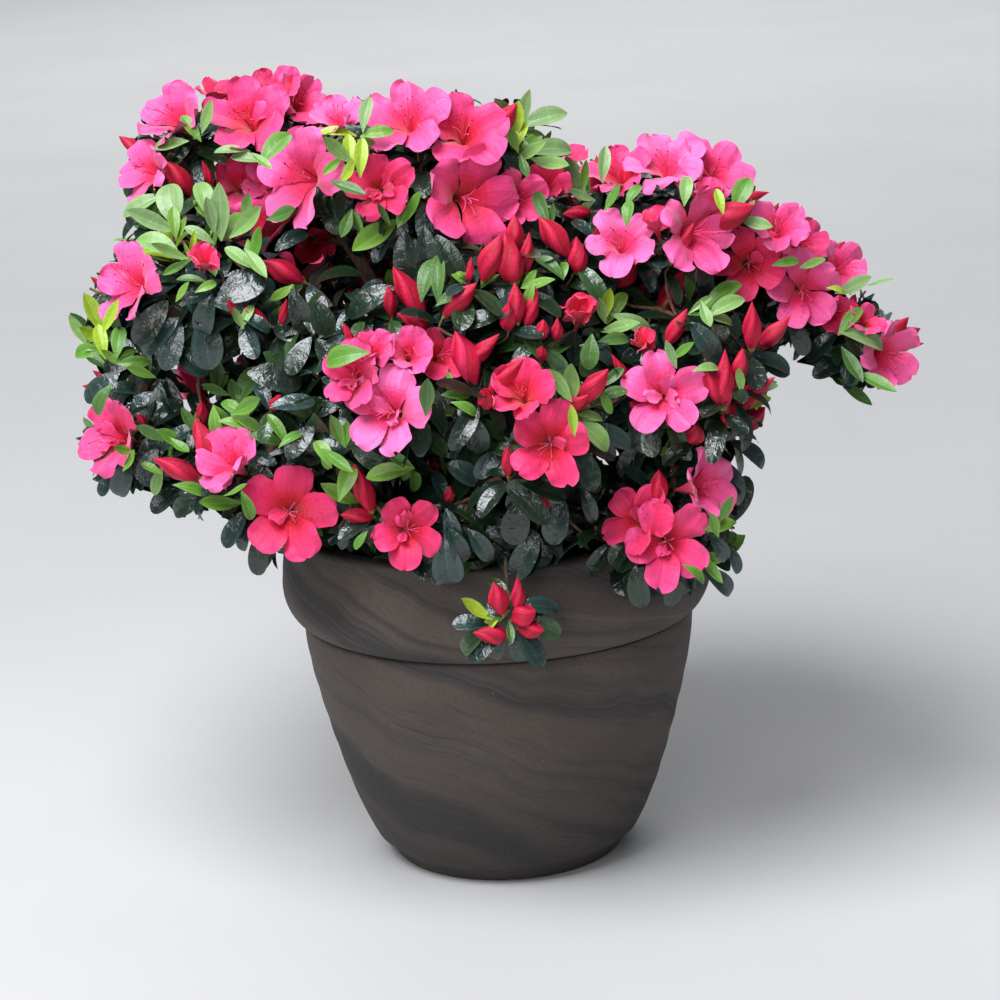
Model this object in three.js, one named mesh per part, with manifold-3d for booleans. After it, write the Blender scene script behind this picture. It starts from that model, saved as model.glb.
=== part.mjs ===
// Azalea shrub in flower, growing in a round clay pot.
// Millimetres, +Z up. The origin is the centre of the pot's flat underside.
// The shrub's fullest face looks along -Y and its one-sided tip reaches out along +X.

import * as THREE from 'three';
import { mergeVertices } from 'three/addons/utils/BufferGeometryUtils.js';
import Module from 'manifold-3d';

const wasm = await Module();
wasm.setup();

// Driving dimensions of the pot.
const RIM_DIAMETER = 254;
const POT_HEIGHT = 215;
const FOOT_DIAMETER = 150;
const FOOT_HEIGHT = 7;
const FOOT_DRAW_IN = 2;
const FOOT_CHAMFER = 1.5;
const FOOT_FLARE = 1;
const FOOT_STEP = 1;
const BAND_HEIGHT = 61;
const BAND_BELLY_DIAMETER = 263;
const BAND_BELLY_DROP = 37;
const BAND_TUCK = 3;
const BAND_STEP = 1;
const BODY_TOP_DIAMETER = 239;
const WALL = 10;
const LIP_THICKNESS = 13;
const LIP_INSIDE_BEVEL = [2, 3];
const FLOOR_THICKNESS = 13;
const FLOOR_FILLET = 2;
const POT_FACETS = 28;
const BAND_STEPS = 3;
const LIP_STEPS = 2;
const LIP_ROUND = 4;
const DRAIN_HOLES = 3;
const DRAIN_FACETS = 16;
const DRAIN_DIAMETER = 14;
const DRAIN_CIRCLE_DIAMETER = 66;

// The body swells outwards as it rises: its diameter at equal steps of height, from the foot up.
const BODY_DIAMETERS = [156, 190, 212, 230, BODY_TOP_DIAMETER];

// The potting mix, its surface below the rim.
const HEADSPACE = 26;
const GAP = 0.4;

// The short stem inside the crown, and the limbs that fork from it.
const STEM_HEIGHT = 40;
const STEM_BASE_RADIUS = 12;
const STEM_TOP_RADIUS = 8.5;
const STEM_LEAN = [3, -4];
const ROOT_FLARE = 0.75;
const FLARE_FALLOFF = 9;
const STEM_STEPS = 8;
const BOUGH_BASE_RADIUS = 5;
const BOUGH_TIP_RADIUS = 2.8;
const BOUGH_START_OFFSET = 5;
const BOUGH_GROW = 0.1;
const LIMB_FACETS = 6;
const BOUGH_STEPS = 5;
const BOUGH_MERGE = 0.1;

// The foliage.
const MASS_DETAIL = 2;
const SMALL_MASS = 30;
const MASS_GAP = 0.8;
const MASS_MERGE = 0.35;
const LOBE_WIDTH = 0.16;
const LOBE_SIZES = [0.14, 0.34];
const LOBE_COUNTS = [7, 10];

const SOIL_TOP = POT_HEIGHT - HEADSPACE;
const SAME_POINT = 1e-4;

const finish = (color, roughness) => new THREE.MeshStandardMaterial({ color, roughness, metalness: 0 });
const CLAY = finish(0x50473f, 0.85);
const MIX = finish(0x2b2019, 1);
const BARK = finish(0x5d4a3a, 0.9);
const LEAF = finish(0x24402a, 0.55);
const BLOOM = finish(0xd8365f, 0.6);

// A repeatable stream of numbers from 0 to 1.
function stream(seed) {
  let state = seed * 2654435761 % 4294967296;
  return () => {
    state = (state * 1664525 + 1013904223) % 4294967296;
    return state / 4294967296;
  };
}

// Closed three.js geometry to solid, and back.
function solid(geometry) {
  const bare = geometry.clone();
  bare.deleteAttribute('normal');
  bare.deleteAttribute('uv');
  const merged = mergeVertices(bare, SAME_POINT);
  return new wasm.Manifold(new wasm.Mesh({
    numProp: 3,
    vertProperties: new Float32Array(merged.attributes.position.array),
    triVerts: new Uint32Array(merged.index.array),
  }));
}

function geometryOf(body) {
  const mesh = body.getMesh();
  const points = [];
  for (let i = 0; i < mesh.vertProperties.length; i += mesh.numProp) {
    points.push(...mesh.vertProperties.slice(i, i + 3));
  }
  const geometry = new THREE.BufferGeometry();
  geometry.setAttribute('position', new THREE.Float32BufferAttribute(points, 3));
  geometry.setIndex([...mesh.triVerts]);
  geometry.computeVertexNormals();
  return geometry;
}

// The piece of a cut body that the test scores highest, with the cuts' tiniest facets merged.
function bestPiece(body, mergeWithin, score) {
  const pieces = body.simplify(mergeWithin).decompose();
  pieces.sort((a, b) => score(b) - score(a));
  return pieces[0];
}

const shrub = new THREE.Group();

function addNode(name, geometry, material) {
  const mesh = new THREE.Mesh(geometry, material);
  mesh.name = name;
  shrub.add(mesh);
}

// A profile of [radius, height] pairs turned about Z. It closes on itself.
function turned(profile) {
  const points = profile.map(([r, z]) => new THREE.Vector2(r, z));
  points.push(points[0].clone());
  const geometry = new THREE.LatheGeometry(points, POT_FACETS);
  geometry.rotateX(Math.PI / 2);
  return geometry;
}

// The pot's outside, from the foot to the top of the lip.
const bodyTop = POT_HEIGHT - BAND_HEIGHT;
const bodyFoot = FOOT_HEIGHT + FOOT_STEP;

function bodyOutside() {
  const last = BODY_DIAMETERS.length - 1;
  return BODY_DIAMETERS.map((diameter, i) => [diameter / 2, bodyFoot + (bodyTop - bodyFoot) * i / last]);
}

// The band rounds out from its lower edge to its belly, and draws in a little to the lip.
function bandOutside() {
  const low = [BODY_TOP_DIAMETER / 2 - BAND_TUCK, bodyTop + BAND_STEP];
  const belly = [BAND_BELLY_DIAMETER / 2, POT_HEIGHT - BAND_BELLY_DROP];
  const points = [];
  for (let i = 0; i <= BAND_STEPS; i += 1) {
    const turn = Math.PI / 2 * i / BAND_STEPS;
    points.push([
      low[0] + (belly[0] - low[0]) * Math.sin(turn),
      belly[1] - (belly[1] - low[1]) * Math.cos(turn),
    ]);
  }
  return points;
}

const lipInside = [RIM_DIAMETER / 2 - LIP_THICKNESS, POT_HEIGHT - LIP_INSIDE_BEVEL[1]];

function lip() {
  const outer = RIM_DIAMETER / 2;
  const points = [];
  for (let i = 0; i <= LIP_STEPS; i += 1) {
    const turn = Math.PI / 2 * i / LIP_STEPS;
    points.push([
      outer - LIP_ROUND + LIP_ROUND * Math.cos(turn),
      POT_HEIGHT - LIP_ROUND + LIP_ROUND * Math.sin(turn),
    ]);
  }
  points.push([outer - LIP_THICKNESS + LIP_INSIDE_BEVEL[0], POT_HEIGHT]);
  points.push(lipInside);
  return points;
}

const footOutside = [
  [FOOT_DIAMETER / 2 - FOOT_DRAW_IN, 0],
  [FOOT_DIAMETER / 2, FOOT_CHAMFER],
  [FOOT_DIAMETER / 2 + FOOT_FLARE, FOOT_HEIGHT],
];
const outside = [...footOutside, ...bodyOutside(), ...bandOutside(), ...lip()];

// The inside follows every second ring of the body's outside at the wall's thickness.
const insideRings = bodyOutside().filter((ring, i) => i > 0 && i % 2 === 0);
const insideWall = insideRings.map(([r, z]) => [r - WALL, z]).reverse();
const floorEdge = [BODY_DIAMETERS[0] / 2 - WALL + FLOOR_FILLET, FLOOR_THICKNESS];

function pot() {
  const profile = [[0, 0], ...outside, ...insideWall, floorEdge, [0, FLOOR_THICKNESS]];
  let body = solid(turned(profile));
  for (let i = 0; i < DRAIN_HOLES; i += 1) {
    const turn = 2 * Math.PI * i / DRAIN_HOLES;
    const hole = new THREE.CylinderGeometry(
      DRAIN_DIAMETER / 2, DRAIN_DIAMETER / 2, 3 * FLOOR_THICKNESS, DRAIN_FACETS);
    hole.rotateX(Math.PI / 2);
    hole.translate(
      DRAIN_CIRCLE_DIAMETER / 2 * Math.cos(turn), DRAIN_CIRCLE_DIAMETER / 2 * Math.sin(turn), 0);
    body = body.subtract(solid(hole));
  }
  return body;
}

// Potting mix fills the pot to its surface, a hair clear of the wall and the floor.
function pottingMix() {
  const wallTop = insideWall[0];
  const share = (SOIL_TOP - wallTop[1]) / (lipInside[1] - wallTop[1]);
  const surfaceEdge = wallTop[0] + (lipInside[0] - wallTop[0]) * share;
  const wall = insideWall.map(([r, z]) => [r - GAP, z]).reverse();
  const profile = [
    [0, FLOOR_THICKNESS + GAP],
    [floorEdge[0] - GAP, FLOOR_THICKNESS + GAP],
    ...wall,
    [surfaceEdge - GAP, SOIL_TOP],
    [0, SOIL_TOP],
  ];
  return solid(turned(profile));
}

// What no foliage or limb may reach into: the pot and all that it holds, a hair larger.
function potKeepOut() {
  const around = outside.slice(0, -2).map(([r, z]) => [r + MASS_GAP, z]);
  const top = around[around.length - 1];
  const profile = [[0, -MASS_GAP], ...around, [top[0], POT_HEIGHT + MASS_GAP], [0, POT_HEIGHT + MASS_GAP]];
  return solid(turned(profile));
}

// No limb runs along this direction, so it sets how the sections turn.
const LIMB_SIDEWAYS = new THREE.Vector3(0.31, 0.95, 0.05);

// A closed tapering limb along a curve, its radius given by its share of the length.
function limb(curve, radiusAt, steps) {
  const geometry = new THREE.CylinderGeometry(1, 1, 1, LIMB_FACETS, steps);
  const position = geometry.attributes.position;
  const side = new THREE.Vector3();
  const across = new THREE.Vector3();
  for (let i = 0; i < position.count; i += 1) {
    const share = THREE.MathUtils.clamp(position.getY(i) + 0.5, 0, 1);
    const centre = curve.getPoint(share);
    const along = curve.getTangent(share);
    side.copy(LIMB_SIDEWAYS).cross(along).normalize();
    across.crossVectors(along, side).normalize();
    const radius = radiusAt(share);
    centre.addScaledVector(side, position.getZ(i) * radius);
    centre.addScaledVector(across, position.getX(i) * radius);
    position.setXYZ(i, centre.x, centre.y, centre.z);
  }
  return geometry;
}

// The stem stands on the mix, flared at its foot, and leans a little towards the front.
const stemFoot = new THREE.Vector3(0, 0, SOIL_TOP + GAP);
const stemTop = new THREE.Vector3(STEM_LEAN[0], STEM_LEAN[1], SOIL_TOP + STEM_HEIGHT);

function stemAt(share) {
  return stemFoot.clone().lerp(stemTop, share);
}

function stem(grow) {
  const curve = new THREE.LineCurve3(stemFoot, stemTop);
  const radiusAt = (share) => grow
    + THREE.MathUtils.lerp(STEM_BASE_RADIUS, STEM_TOP_RADIUS, share)
    * (1 + ROOT_FLARE * Math.exp(-share * FLARE_FALLOFF));
  const body = solid(limb(curve, radiusAt, STEM_STEPS));
  return body.subtract(solid(slabBelow(SOIL_TOP + GAP)));
}

// Everything under a height, for the flat cut at the foot of the stem.
function slabBelow(height) {
  const slab = new THREE.BoxGeometry(POT_HEIGHT, POT_HEIGHT, POT_HEIGHT);
  slab.translate(0, 0, height - POT_HEIGHT / 2);
  return slab;
}

// Each mass of foliage: its centre and its half-sizes, its turn about Z, and its seed.
const MASSES = [
  { name: 'top_left_high', at: [-128, 30, 450], half: [42, 52, 36], turn: 0.2, seed: 11 },
  { name: 'top_left_low', at: [-181, 22, 431], half: [35, 52, 42], turn: -0.2, seed: 10 },
  { name: 'top_centre', at: [-34, -45, 431], half: [86, 66, 53], turn: -0.1, seed: 12 },
  { name: 'top_back', at: [-34, 84, 410], half: [84, 66, 52], turn: 0.3, seed: 13 },
  { name: 'right_upper', at: [113, -22, 395], half: [72, 74, 47], turn: 0.15, seed: 14 },
  { name: 'right_shoulder', at: [180, 0, 351], half: [46, 60, 44], turn: -0.3, seed: 15 },
  { name: 'far_right_tip', at: [227, -6, 318], half: [31, 44, 38], turn: 0.1, seed: 33 },
  { name: 'left_middle', at: [-162, -55, 376], half: [60, 60, 55], turn: 0.1, seed: 16 },
  { name: 'left_tip', at: [-216, 10, 338], half: [37, 56, 54], turn: -0.2, seed: 17 },
  { name: 'left_low_tip', at: [-206, -28, 270], half: [45, 50, 38], turn: 0.1, seed: 18 },
  { name: 'lower_left', at: [-130, -76, 262], half: [60, 54, 60], turn: 0.3, seed: 19 },
  { name: 'centre_left', at: [-78, -108, 322], half: [60, 60, 64], turn: 0, seed: 20 },
  { name: 'centre_upper', at: [10, -90, 374], half: [72, 58, 44], turn: 0.1, seed: 21 },
  { name: 'centre_right', at: [24, -116, 312], half: [62, 58, 64], turn: 0.2, seed: 22 },
  { name: 'lower_centre', at: [-12, -116, 245], half: [80, 46, 34], turn: 0, seed: 23 },
  { name: 'right_middle', at: [116, -82, 310], half: [53, 62, 54], turn: -0.2, seed: 24 },
  { name: 'lower_right', at: [104, -86, 227], half: [48, 52, 52], turn: -0.4, seed: 25 },
  { name: 'back_left', at: [-145, 112, 362], half: [78, 72, 70], turn: 0.4, seed: 26 },
  { name: 'back_right', at: [114, 112, 345], half: [78, 74, 64], turn: -0.3, seed: 27 },
  { name: 'back_centre', at: [-8, 152, 345], half: [86, 66, 72], turn: 0.1, seed: 28 },
  { name: 'back_low_left', at: [-118, 98, 266], half: [70, 64, 56], turn: 0.5, seed: 29 },
  { name: 'back_low', at: [0, 140, 252], half: [72, 54, 50], turn: 0, seed: 30 },
  { name: 'back_low_right', at: [104, 88, 258], half: [62, 62, 56], turn: -0.5, seed: 31 },
  { name: 'front_sprig', at: [6, -157, 191], half: [29, 20, 25], turn: 0, seed: 32 },
];

// Rounded swellings, spread over the mass by its seed, make it uneven.
function lobes(seed) {
  const next = stream(seed);
  const [fewest, most] = LOBE_COUNTS;
  const [smallest, largest] = LOBE_SIZES;
  const count = fewest + Math.floor(next() * (most - fewest + 1));
  const list = [];
  for (let i = 0; i < count; i += 1) {
    const height = 2 * next() - 1;
    const turn = 2 * Math.PI * next();
    const flat = Math.sqrt(1 - height * height);
    const direction = new THREE.Vector3(flat * Math.cos(turn), flat * Math.sin(turn), height);
    list.push({ direction, size: smallest + (largest - smallest) * next() });
  }
  return list;
}

// A closed uneven body that just fills its box of half-sizes.
function massBody({ at, half, turn, seed }, grow) {
  const detail = half[0] < SMALL_MASS ? MASS_DETAIL - 1 : MASS_DETAIL;
  const geometry = new THREE.IcosahedronGeometry(1, detail);
  const position = geometry.attributes.position;
  const swellings = lobes(seed);
  const direction = new THREE.Vector3();
  for (let i = 0; i < position.count; i += 1) {
    direction.fromBufferAttribute(position, i).normalize();
    let reach = 1;
    for (const lobe of swellings) {
      reach += lobe.size * Math.exp((direction.dot(lobe.direction) - 1) / LOBE_WIDTH);
    }
    position.setXYZ(i, direction.x * reach, direction.y * reach, direction.z * reach);
  }
  geometry.rotateZ(turn);
  geometry.computeBoundingBox();
  const box = geometry.boundingBox;
  const centre = box.getCenter(new THREE.Vector3());
  const size = box.getSize(new THREE.Vector3());
  geometry.translate(-centre.x, -centre.y, -centre.z);
  geometry.scale(
    2 * (half[0] + grow) / size.x, 2 * (half[1] + grow) / size.y, 2 * (half[2] + grow) / size.z);
  geometry.translate(...at);
  return solid(geometry);
}

// Where each bough leaves the stem, as a share of the stem's height, and the mass it carries.
const BOUGHS = [
  { name: 'bough_top_centre', to: 'top_centre', from: 0.98, thick: 1 },
  { name: 'bough_top_left', to: 'top_left_high', from: 0.94, thick: 1.1 },
  { name: 'bough_top_back', to: 'top_back', from: 0.95, thick: 1 },
  { name: 'bough_right_upper', to: 'right_upper', from: 0.92, thick: 1.1 },
  { name: 'bough_left_middle', to: 'left_middle', from: 0.72, thick: 0.95 },
  { name: 'bough_right_shoulder', to: 'right_shoulder', from: 0.6, thick: 1 },
  { name: 'bough_back_right', to: 'back_right', from: 0.72, thick: 1 },
  { name: 'bough_back_left', to: 'back_left', from: 0.66, thick: 1 },
  { name: 'bough_centre_left', to: 'centre_left', from: 0.78, thick: 0.9 },
  { name: 'bough_centre_right', to: 'centre_right', from: 0.7, thick: 0.9 },
  { name: 'bough_right_middle', to: 'right_middle', from: 0.5, thick: 0.9 },
  { name: 'bough_back_centre', to: 'back_centre', from: 0.5, thick: 0.9 },
];
const SPRIG_BOUGH = { name: 'bough_front_sprig', to: 'front_sprig' };
const SPRIG_STEM_RADIUS = 1.6;
const SPRIG_START_OVER_RIM = 20;
const SPRIG_CREST_OVER_RIM = 12;

const point = (list) => new THREE.Vector3(...list);
const massNamed = (name) => MASSES.find((mass) => mass.name === name);

// Where a bough bends, as shares of its way across and up.
const BOUGH_KNEE = new THREE.Vector3(0.42, 0.42, 0.56);

// A bough springs up and out from the stem, then bends over to the middle of its mass.
function boughGeometry({ to, from, thick }) {
  const start = stemAt(from);
  const end = point(massNamed(to).at);
  const out = end.clone().sub(start);
  start.addScaledVector(new THREE.Vector3(out.x, out.y, 0).normalize(), BOUGH_START_OFFSET);
  const knee = start.clone().add(out.multiply(BOUGH_KNEE));
  const curve = new THREE.QuadraticBezierCurve3(start, knee, end);
  const radiusAt = (share) => thick * THREE.MathUtils.lerp(BOUGH_BASE_RADIUS, BOUGH_TIP_RADIUS, share);
  return limb(curve, radiusAt, BOUGH_STEPS);
}

// The sprig's thin stem leaves the foliage above the rim and hangs over it.
function sprigStem() {
  const over = point(massNamed(SPRIG_BOUGH.to).at);
  const start = new THREE.Vector3(over.x, -RIM_DIAMETER / 2, POT_HEIGHT + SPRIG_START_OVER_RIM);
  const crest = new THREE.Vector3(over.x, over.y, POT_HEIGHT + SPRIG_CREST_OVER_RIM);
  const curve = new THREE.QuadraticBezierCurve3(start, crest, over);
  return limb(curve, () => SPRIG_STEM_RADIUS, BOUGH_STEPS);
}

const apart = (body, others) => others.reduce((left, other) => left.subtract(other), body);
const volumeOf = (body) => body.volume();
const nearStem = (body) => -body.boundingBox().min[2];

// The pot and its mix.
addNode('pot', geometryOf(pot()), CLAY);
addNode('potting_mix', geometryOf(pottingMix()), MIX);

// The masses, each cut clear of the pot and of those before it.
const keepOut = potKeepOut();
const grownMasses = [];
for (const mass of MASSES) {
  const body = bestPiece(apart(massBody(mass, 0), [keepOut, ...grownMasses]), MASS_MERGE, volumeOf);
  const flowery = mass.name.startsWith('top') || mass.name.includes('right');
  addNode(`foliage_${mass.name}`, geometryOf(body), flowery ? BLOOM : LEAF);
  grownMasses.push(massBody(mass, MASS_GAP));
}

// The stem, and the boughs cut clear of it, of the masses and of those before them.
addNode('stem', geometryOf(stem(0)), BARK);
const inTheWay = [stem(GAP), ...grownMasses];
for (const bough of BOUGHS) {
  const body = apart(solid(boughGeometry(bough)), inTheWay);
  addNode(bough.name, geometryOf(bestPiece(body, BOUGH_MERGE, nearStem)), BARK);
  inTheWay.push(solid(boughGeometry({ ...bough, thick: bough.thick + BOUGH_GROW })));
}
const sprig = apart(solid(sprigStem()), [keepOut, ...grownMasses]);
addNode(SPRIG_BOUGH.name, geometryOf(bestPiece(sprig, BOUGH_MERGE, volumeOf)), BARK);

export default shrub;
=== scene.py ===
"""An azalea shrub in flower in a round clay pot: finish, foliage and blossom on the CAD frame."""

import math
from collections import namedtuple

import bmesh
import bpy
import numpy as np
from mathutils import Matrix, Vector, noise
from mathutils.bvhtree import BVHTree


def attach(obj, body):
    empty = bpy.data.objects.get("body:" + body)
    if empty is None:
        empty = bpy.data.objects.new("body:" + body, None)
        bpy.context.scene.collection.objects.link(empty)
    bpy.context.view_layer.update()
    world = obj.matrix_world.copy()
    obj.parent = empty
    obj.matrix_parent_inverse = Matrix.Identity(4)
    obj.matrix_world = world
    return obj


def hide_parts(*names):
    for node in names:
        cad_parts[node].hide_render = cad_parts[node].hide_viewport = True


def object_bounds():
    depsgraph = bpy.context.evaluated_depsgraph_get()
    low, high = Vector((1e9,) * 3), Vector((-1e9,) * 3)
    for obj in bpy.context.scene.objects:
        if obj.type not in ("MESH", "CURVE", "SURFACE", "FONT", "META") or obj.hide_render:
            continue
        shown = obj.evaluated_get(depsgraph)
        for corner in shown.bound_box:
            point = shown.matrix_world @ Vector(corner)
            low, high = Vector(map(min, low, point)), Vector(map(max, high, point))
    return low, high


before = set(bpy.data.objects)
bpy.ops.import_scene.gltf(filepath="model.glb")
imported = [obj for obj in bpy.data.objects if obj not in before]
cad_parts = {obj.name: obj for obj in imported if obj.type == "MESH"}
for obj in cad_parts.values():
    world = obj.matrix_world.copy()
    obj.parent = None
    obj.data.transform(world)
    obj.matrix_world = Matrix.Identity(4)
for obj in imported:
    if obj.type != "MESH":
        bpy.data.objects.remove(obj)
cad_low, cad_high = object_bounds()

SEED = 41
MM = 0.001
FULL_TURN = 2 * math.pi
rng = np.random.default_rng(SEED)

# The camera, fitted to the pot's outline in the photograph, whose side is PHOTO pixels.
PHOTO = 1000
FOCAL = 3198.7
AIM = np.array([4.3, 0.0, 221.5]) * MM
DISTANCE = 1956.7 * MM
ELEVATION = math.radians(15.08)
ROLL = math.radians(-2.66)
SENSOR = 36.0

BACK = np.array([0.0, -math.cos(ELEVATION), math.sin(ELEVATION)])
LEVEL = np.array([1.0, 0.0, 0.0])
UPRIGHT = np.cross(BACK, LEVEL)
RIGHT = math.cos(ROLL) * LEVEL + math.sin(ROLL) * UPRIGHT
UP = math.cos(ROLL) * UPRIGHT - math.sin(ROLL) * LEVEL
WORLD_UP = np.array([0.0, 0.0, 1.0])
EYE = AIM + BACK * DISTANCE
METRES_PER_PIXEL = DISTANCE / FOCAL


def linked(name, data):
    """A new object of the scene."""
    made = bpy.data.objects.new(name, data)
    bpy.context.scene.collection.objects.link(made)
    return made


def make_camera():
    camera = linked("camera", bpy.data.cameras.new("camera"))
    camera.data.sensor_width = SENSOR
    camera.data.lens = SENSOR * FOCAL / PHOTO
    turned_to_photo = Matrix((RIGHT, UP, BACK)).transposed().to_4x4()
    camera.matrix_world = Matrix.Translation(EYE) @ turned_to_photo
    bpy.context.scene.camera = camera


def unit(v):
    return v / np.maximum(np.linalg.norm(v, axis=-1, keepdims=True), 1e-9)


def photo_ray(pixel):
    """The direction from the camera's eye through a pixel of the photograph."""
    across, upward = (pixel[0] - PHOTO / 2) / FOCAL, (PHOTO / 2 - pixel[1]) / FOCAL
    return unit(across * RIGHT + upward * UP - BACK)


def to_photo(points):
    """Where points fall in the photograph, and how far in front of the eye they are."""
    away = points - EYE
    depth = -(away @ BACK)
    x = PHOTO / 2 + FOCAL * (away @ RIGHT) / depth
    y = PHOTO / 2 - FOCAL * (away @ UP) / depth
    return np.stack([x, y], -1), depth


LEAST_TOWARDS = 0.02
LYING_FLAT = 0.9
FLAT_TOWARDS = 0.3


def facing(across, upward):
    """A direction by its shares to the right and up in the photograph, the rest to the eye."""
    towards = math.sqrt(max(LEAST_TOWARDS, 1 - across**2 - upward**2))
    return unit(across * RIGHT + upward * UP + towards * BACK)


def photo_way(across, upward):
    """As facing, but a direction that lies flat in the photograph is tipped to the eye."""
    if across**2 + upward**2 < LYING_FLAT:
        return facing(across, upward)
    return unit(across * RIGHT + upward * UP + FLAT_TOWARDS * BACK)


def smooth(x, low, high):
    """0 below low, 1 above high, and an even rise between them."""
    f = np.clip((x - low) / (high - low), 0, 1)
    return f * f * (3 - 2 * f)


def linear(srgb):
    """An sRGB colour, its parts from 0 to 255, as linear light."""
    c = np.array(srgb, float) / 255
    return np.where(c <= 0.04045, c / 12.92, ((c + 0.055) / 1.055) ** 2.4)


# Materials. Colours are sRGB, from 0 to 255.


class Nodes:
    """A material's nodes, made and linked by short calls."""

    def __init__(self, name, **sockets):
        self.mat = bpy.data.materials.new(name)
        self.mat.use_nodes = True
        self.tree = self.mat.node_tree
        self.shader = self.tree.nodes["Principled BSDF"]
        for key, value in sockets.items():
            self.shader.inputs[key.replace("_", " ")].default_value = value

    def node(self, kind, inputs=(), **settings):
        made = self.tree.nodes.new(kind)
        for key, value in settings.items():
            setattr(made, key, value)
        for key, value in dict(inputs).items():
            if isinstance(value, bpy.types.NodeSocket):
                self.tree.links.new(value, made.inputs[key])
            else:
                made.inputs[key].default_value = value
        return made

    def position(self):
        return self.node("ShaderNodeNewGeometry").outputs["Position"]

    def math(self, operation, *values):
        return self.node("ShaderNodeMath", dict(enumerate(values)), operation=operation).outputs[0]

    def noise(self, vector, scale, detail=4, rough=0.55, **more):
        inputs = {"Vector": vector, "Scale": scale, "Detail": detail, "Roughness": rough, **more}
        return self.node("ShaderNodeTexNoise", inputs).outputs["Fac"]

    def stretched(self, vector, scale):
        return self.node("ShaderNodeMapping", {"Vector": vector, "Scale": scale}).outputs[0]

    def ramp(self, value, *stops):
        """Colours, or greys given by one number, at their places from 0 to 1."""
        made = self.node("ShaderNodeValToRGB", {"Fac": value})
        elements = made.color_ramp.elements
        while len(elements) < len(stops):
            elements.new(0.5)
        for element, (place, colour) in zip(elements, stops):
            element.position = place
            grey = (colour, colour, colour, 1)
            element.color = self.colour(colour) if isinstance(colour, tuple) else grey
        return made.outputs["Color"]

    def mix(self, share, first, second):
        inputs = {0: share, 6: first, 7: second}
        return self.node("ShaderNodeMix", inputs, data_type="RGBA").outputs[2]

    def colour(self, srgb):
        return (*linear(srgb), 1)

    def link(self, value, socket):
        self.tree.links.new(value, self.shader.inputs[socket])

    def bump(self, height, strength, distance):
        inputs = {"Height": height, "Strength": strength, "Distance": distance}
        self.link(self.node("ShaderNodeBump", inputs).outputs[0], "Normal")


FOLDS_ACROSS, FOLD_DETAIL, FOLD_ROUGHNESS, FOLD_DISTORTION = 0.5, 2.0, 0.5, 1.0
FOLD_LIFT = 0.45


def soft_material(name, srgb, roughness, fold, depth, **sockets):
    """One plain colour, on a surface with small uneven folds about fold long."""
    n = Nodes(name, Base_Color=(*linear(srgb), 1), Roughness=roughness, **sockets)
    place = n.node("ShaderNodeTexCoord").outputs["Object"]
    folds = n.noise(place, FOLDS_ACROSS / fold, FOLD_DETAIL, FOLD_ROUGHNESS,
                    Distortion=FOLD_DISTORTION)
    n.bump(folds, depth, FOLD_LIFT * fold)
    return n.mat


# Each leaf tint has a blade and a rib, and a rim whose colour lies between the two: a painted
# highlight along the leaf's edge.
DARK_BLADES = [(17, 32, 22), (20, 38, 24), (24, 46, 40), (31, 53, 28), (32, 54, 50), (41, 70, 34)]
DARK_RIBS = [(32, 50, 37), (37, 58, 41), (43, 69, 61), (52, 78, 46), (52, 78, 70), (66, 96, 52)]
FRESH_BLADES = [
    (86, 134, 44), (104, 146, 52), (118, 156, 82), (120, 152, 94), (148, 178, 44), (68, 104, 46),
]
FRESH_RIBS = [
    (116, 158, 70), (132, 170, 80), (144, 176, 108), (148, 178, 120), (172, 196, 72), (92, 130, 62),
]
RIM_HIGHLIGHT_SHARE = 0.45
# Roughness, shine, and the length and depth of the folds.
DARK_SURFACE = (0.28, 0.76, 1.9 * MM, 0.75)
FRESH_SURFACE = (0.42, 0.5, 1.3 * MM, 0.7)

PETAL_LOOK = dict(roughness=0.55, fold=2.3 * MM, depth=0.5)
BUD_LOOK = dict(roughness=0.58, fold=1.8 * MM, depth=0.6)
PETAL_SHEEN = dict(Specular_IOR_Level=0.3, Sheen_Weight=0.25)
BUD_SHINE = dict(Specular_IOR_Level=0.35)
SPOT_ROUGHNESS = CALYX_ROUGHNESS = 0.6

# A petal's colours from its throat to its rim, and how many steps run between them.
PETAL_KEYS = [
    (198, 18, 26), (210, 24, 50), (220, 33, 76), (230, 44, 100), (234, 59, 122), (237, 79, 144),
    (241, 107, 170),
]
PETAL_STEPS = 25
PETAL_TINTS = [
    tuple(np.interp(i / (PETAL_STEPS - 1), np.linspace(0, 1, len(PETAL_KEYS)), part)
          for part in zip(*PETAL_KEYS))
    for i in range(PETAL_STEPS)
]
SPOT_TINT = (158, 6, 44)
BUD_TINTS = [
    (146, 8, 34), (165, 11, 43), (184, 17, 54), (202, 26, 67), (218, 41, 88), (230, 60, 110),
]
CALYX_TINT = (120, 138, 52)


def leaf_materials(kind, blades, ribs, roughness, shine, fold, depth):
    mats = []
    for i, (blade, rib) in enumerate(zip(blades, ribs)):
        # The rim's lighter tint is a painted highlight along the leaf's edge.
        rim = tuple(b + RIM_HIGHLIGHT_SHARE * (r - b) for b, r in zip(blade, rib))
        for part, tint in (("blade", blade), ("rib", rib), ("rim", rim)):
            name = f"{kind}_{part}_{i}"
            mats.append(soft_material(name, tint, roughness, fold, depth, Specular_IOR_Level=shine))
    return mats


def petal_materials():
    petals = [soft_material(f"petal_{i}", tint, **PETAL_LOOK, **PETAL_SHEEN)
              for i, tint in enumerate(PETAL_TINTS)]
    return petals + [
        soft_material("petal_spot", SPOT_TINT, **{**PETAL_LOOK, "roughness": SPOT_ROUGHNESS})]


def bud_materials():
    petals = [soft_material(f"bud_{i}", tint, **BUD_LOOK, **BUD_SHINE)
              for i, tint in enumerate(BUD_TINTS)]
    return petals + [
        soft_material("bud_calyx", CALYX_TINT, **{**BUD_LOOK, "roughness": CALYX_ROUGHNESS})]


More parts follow.
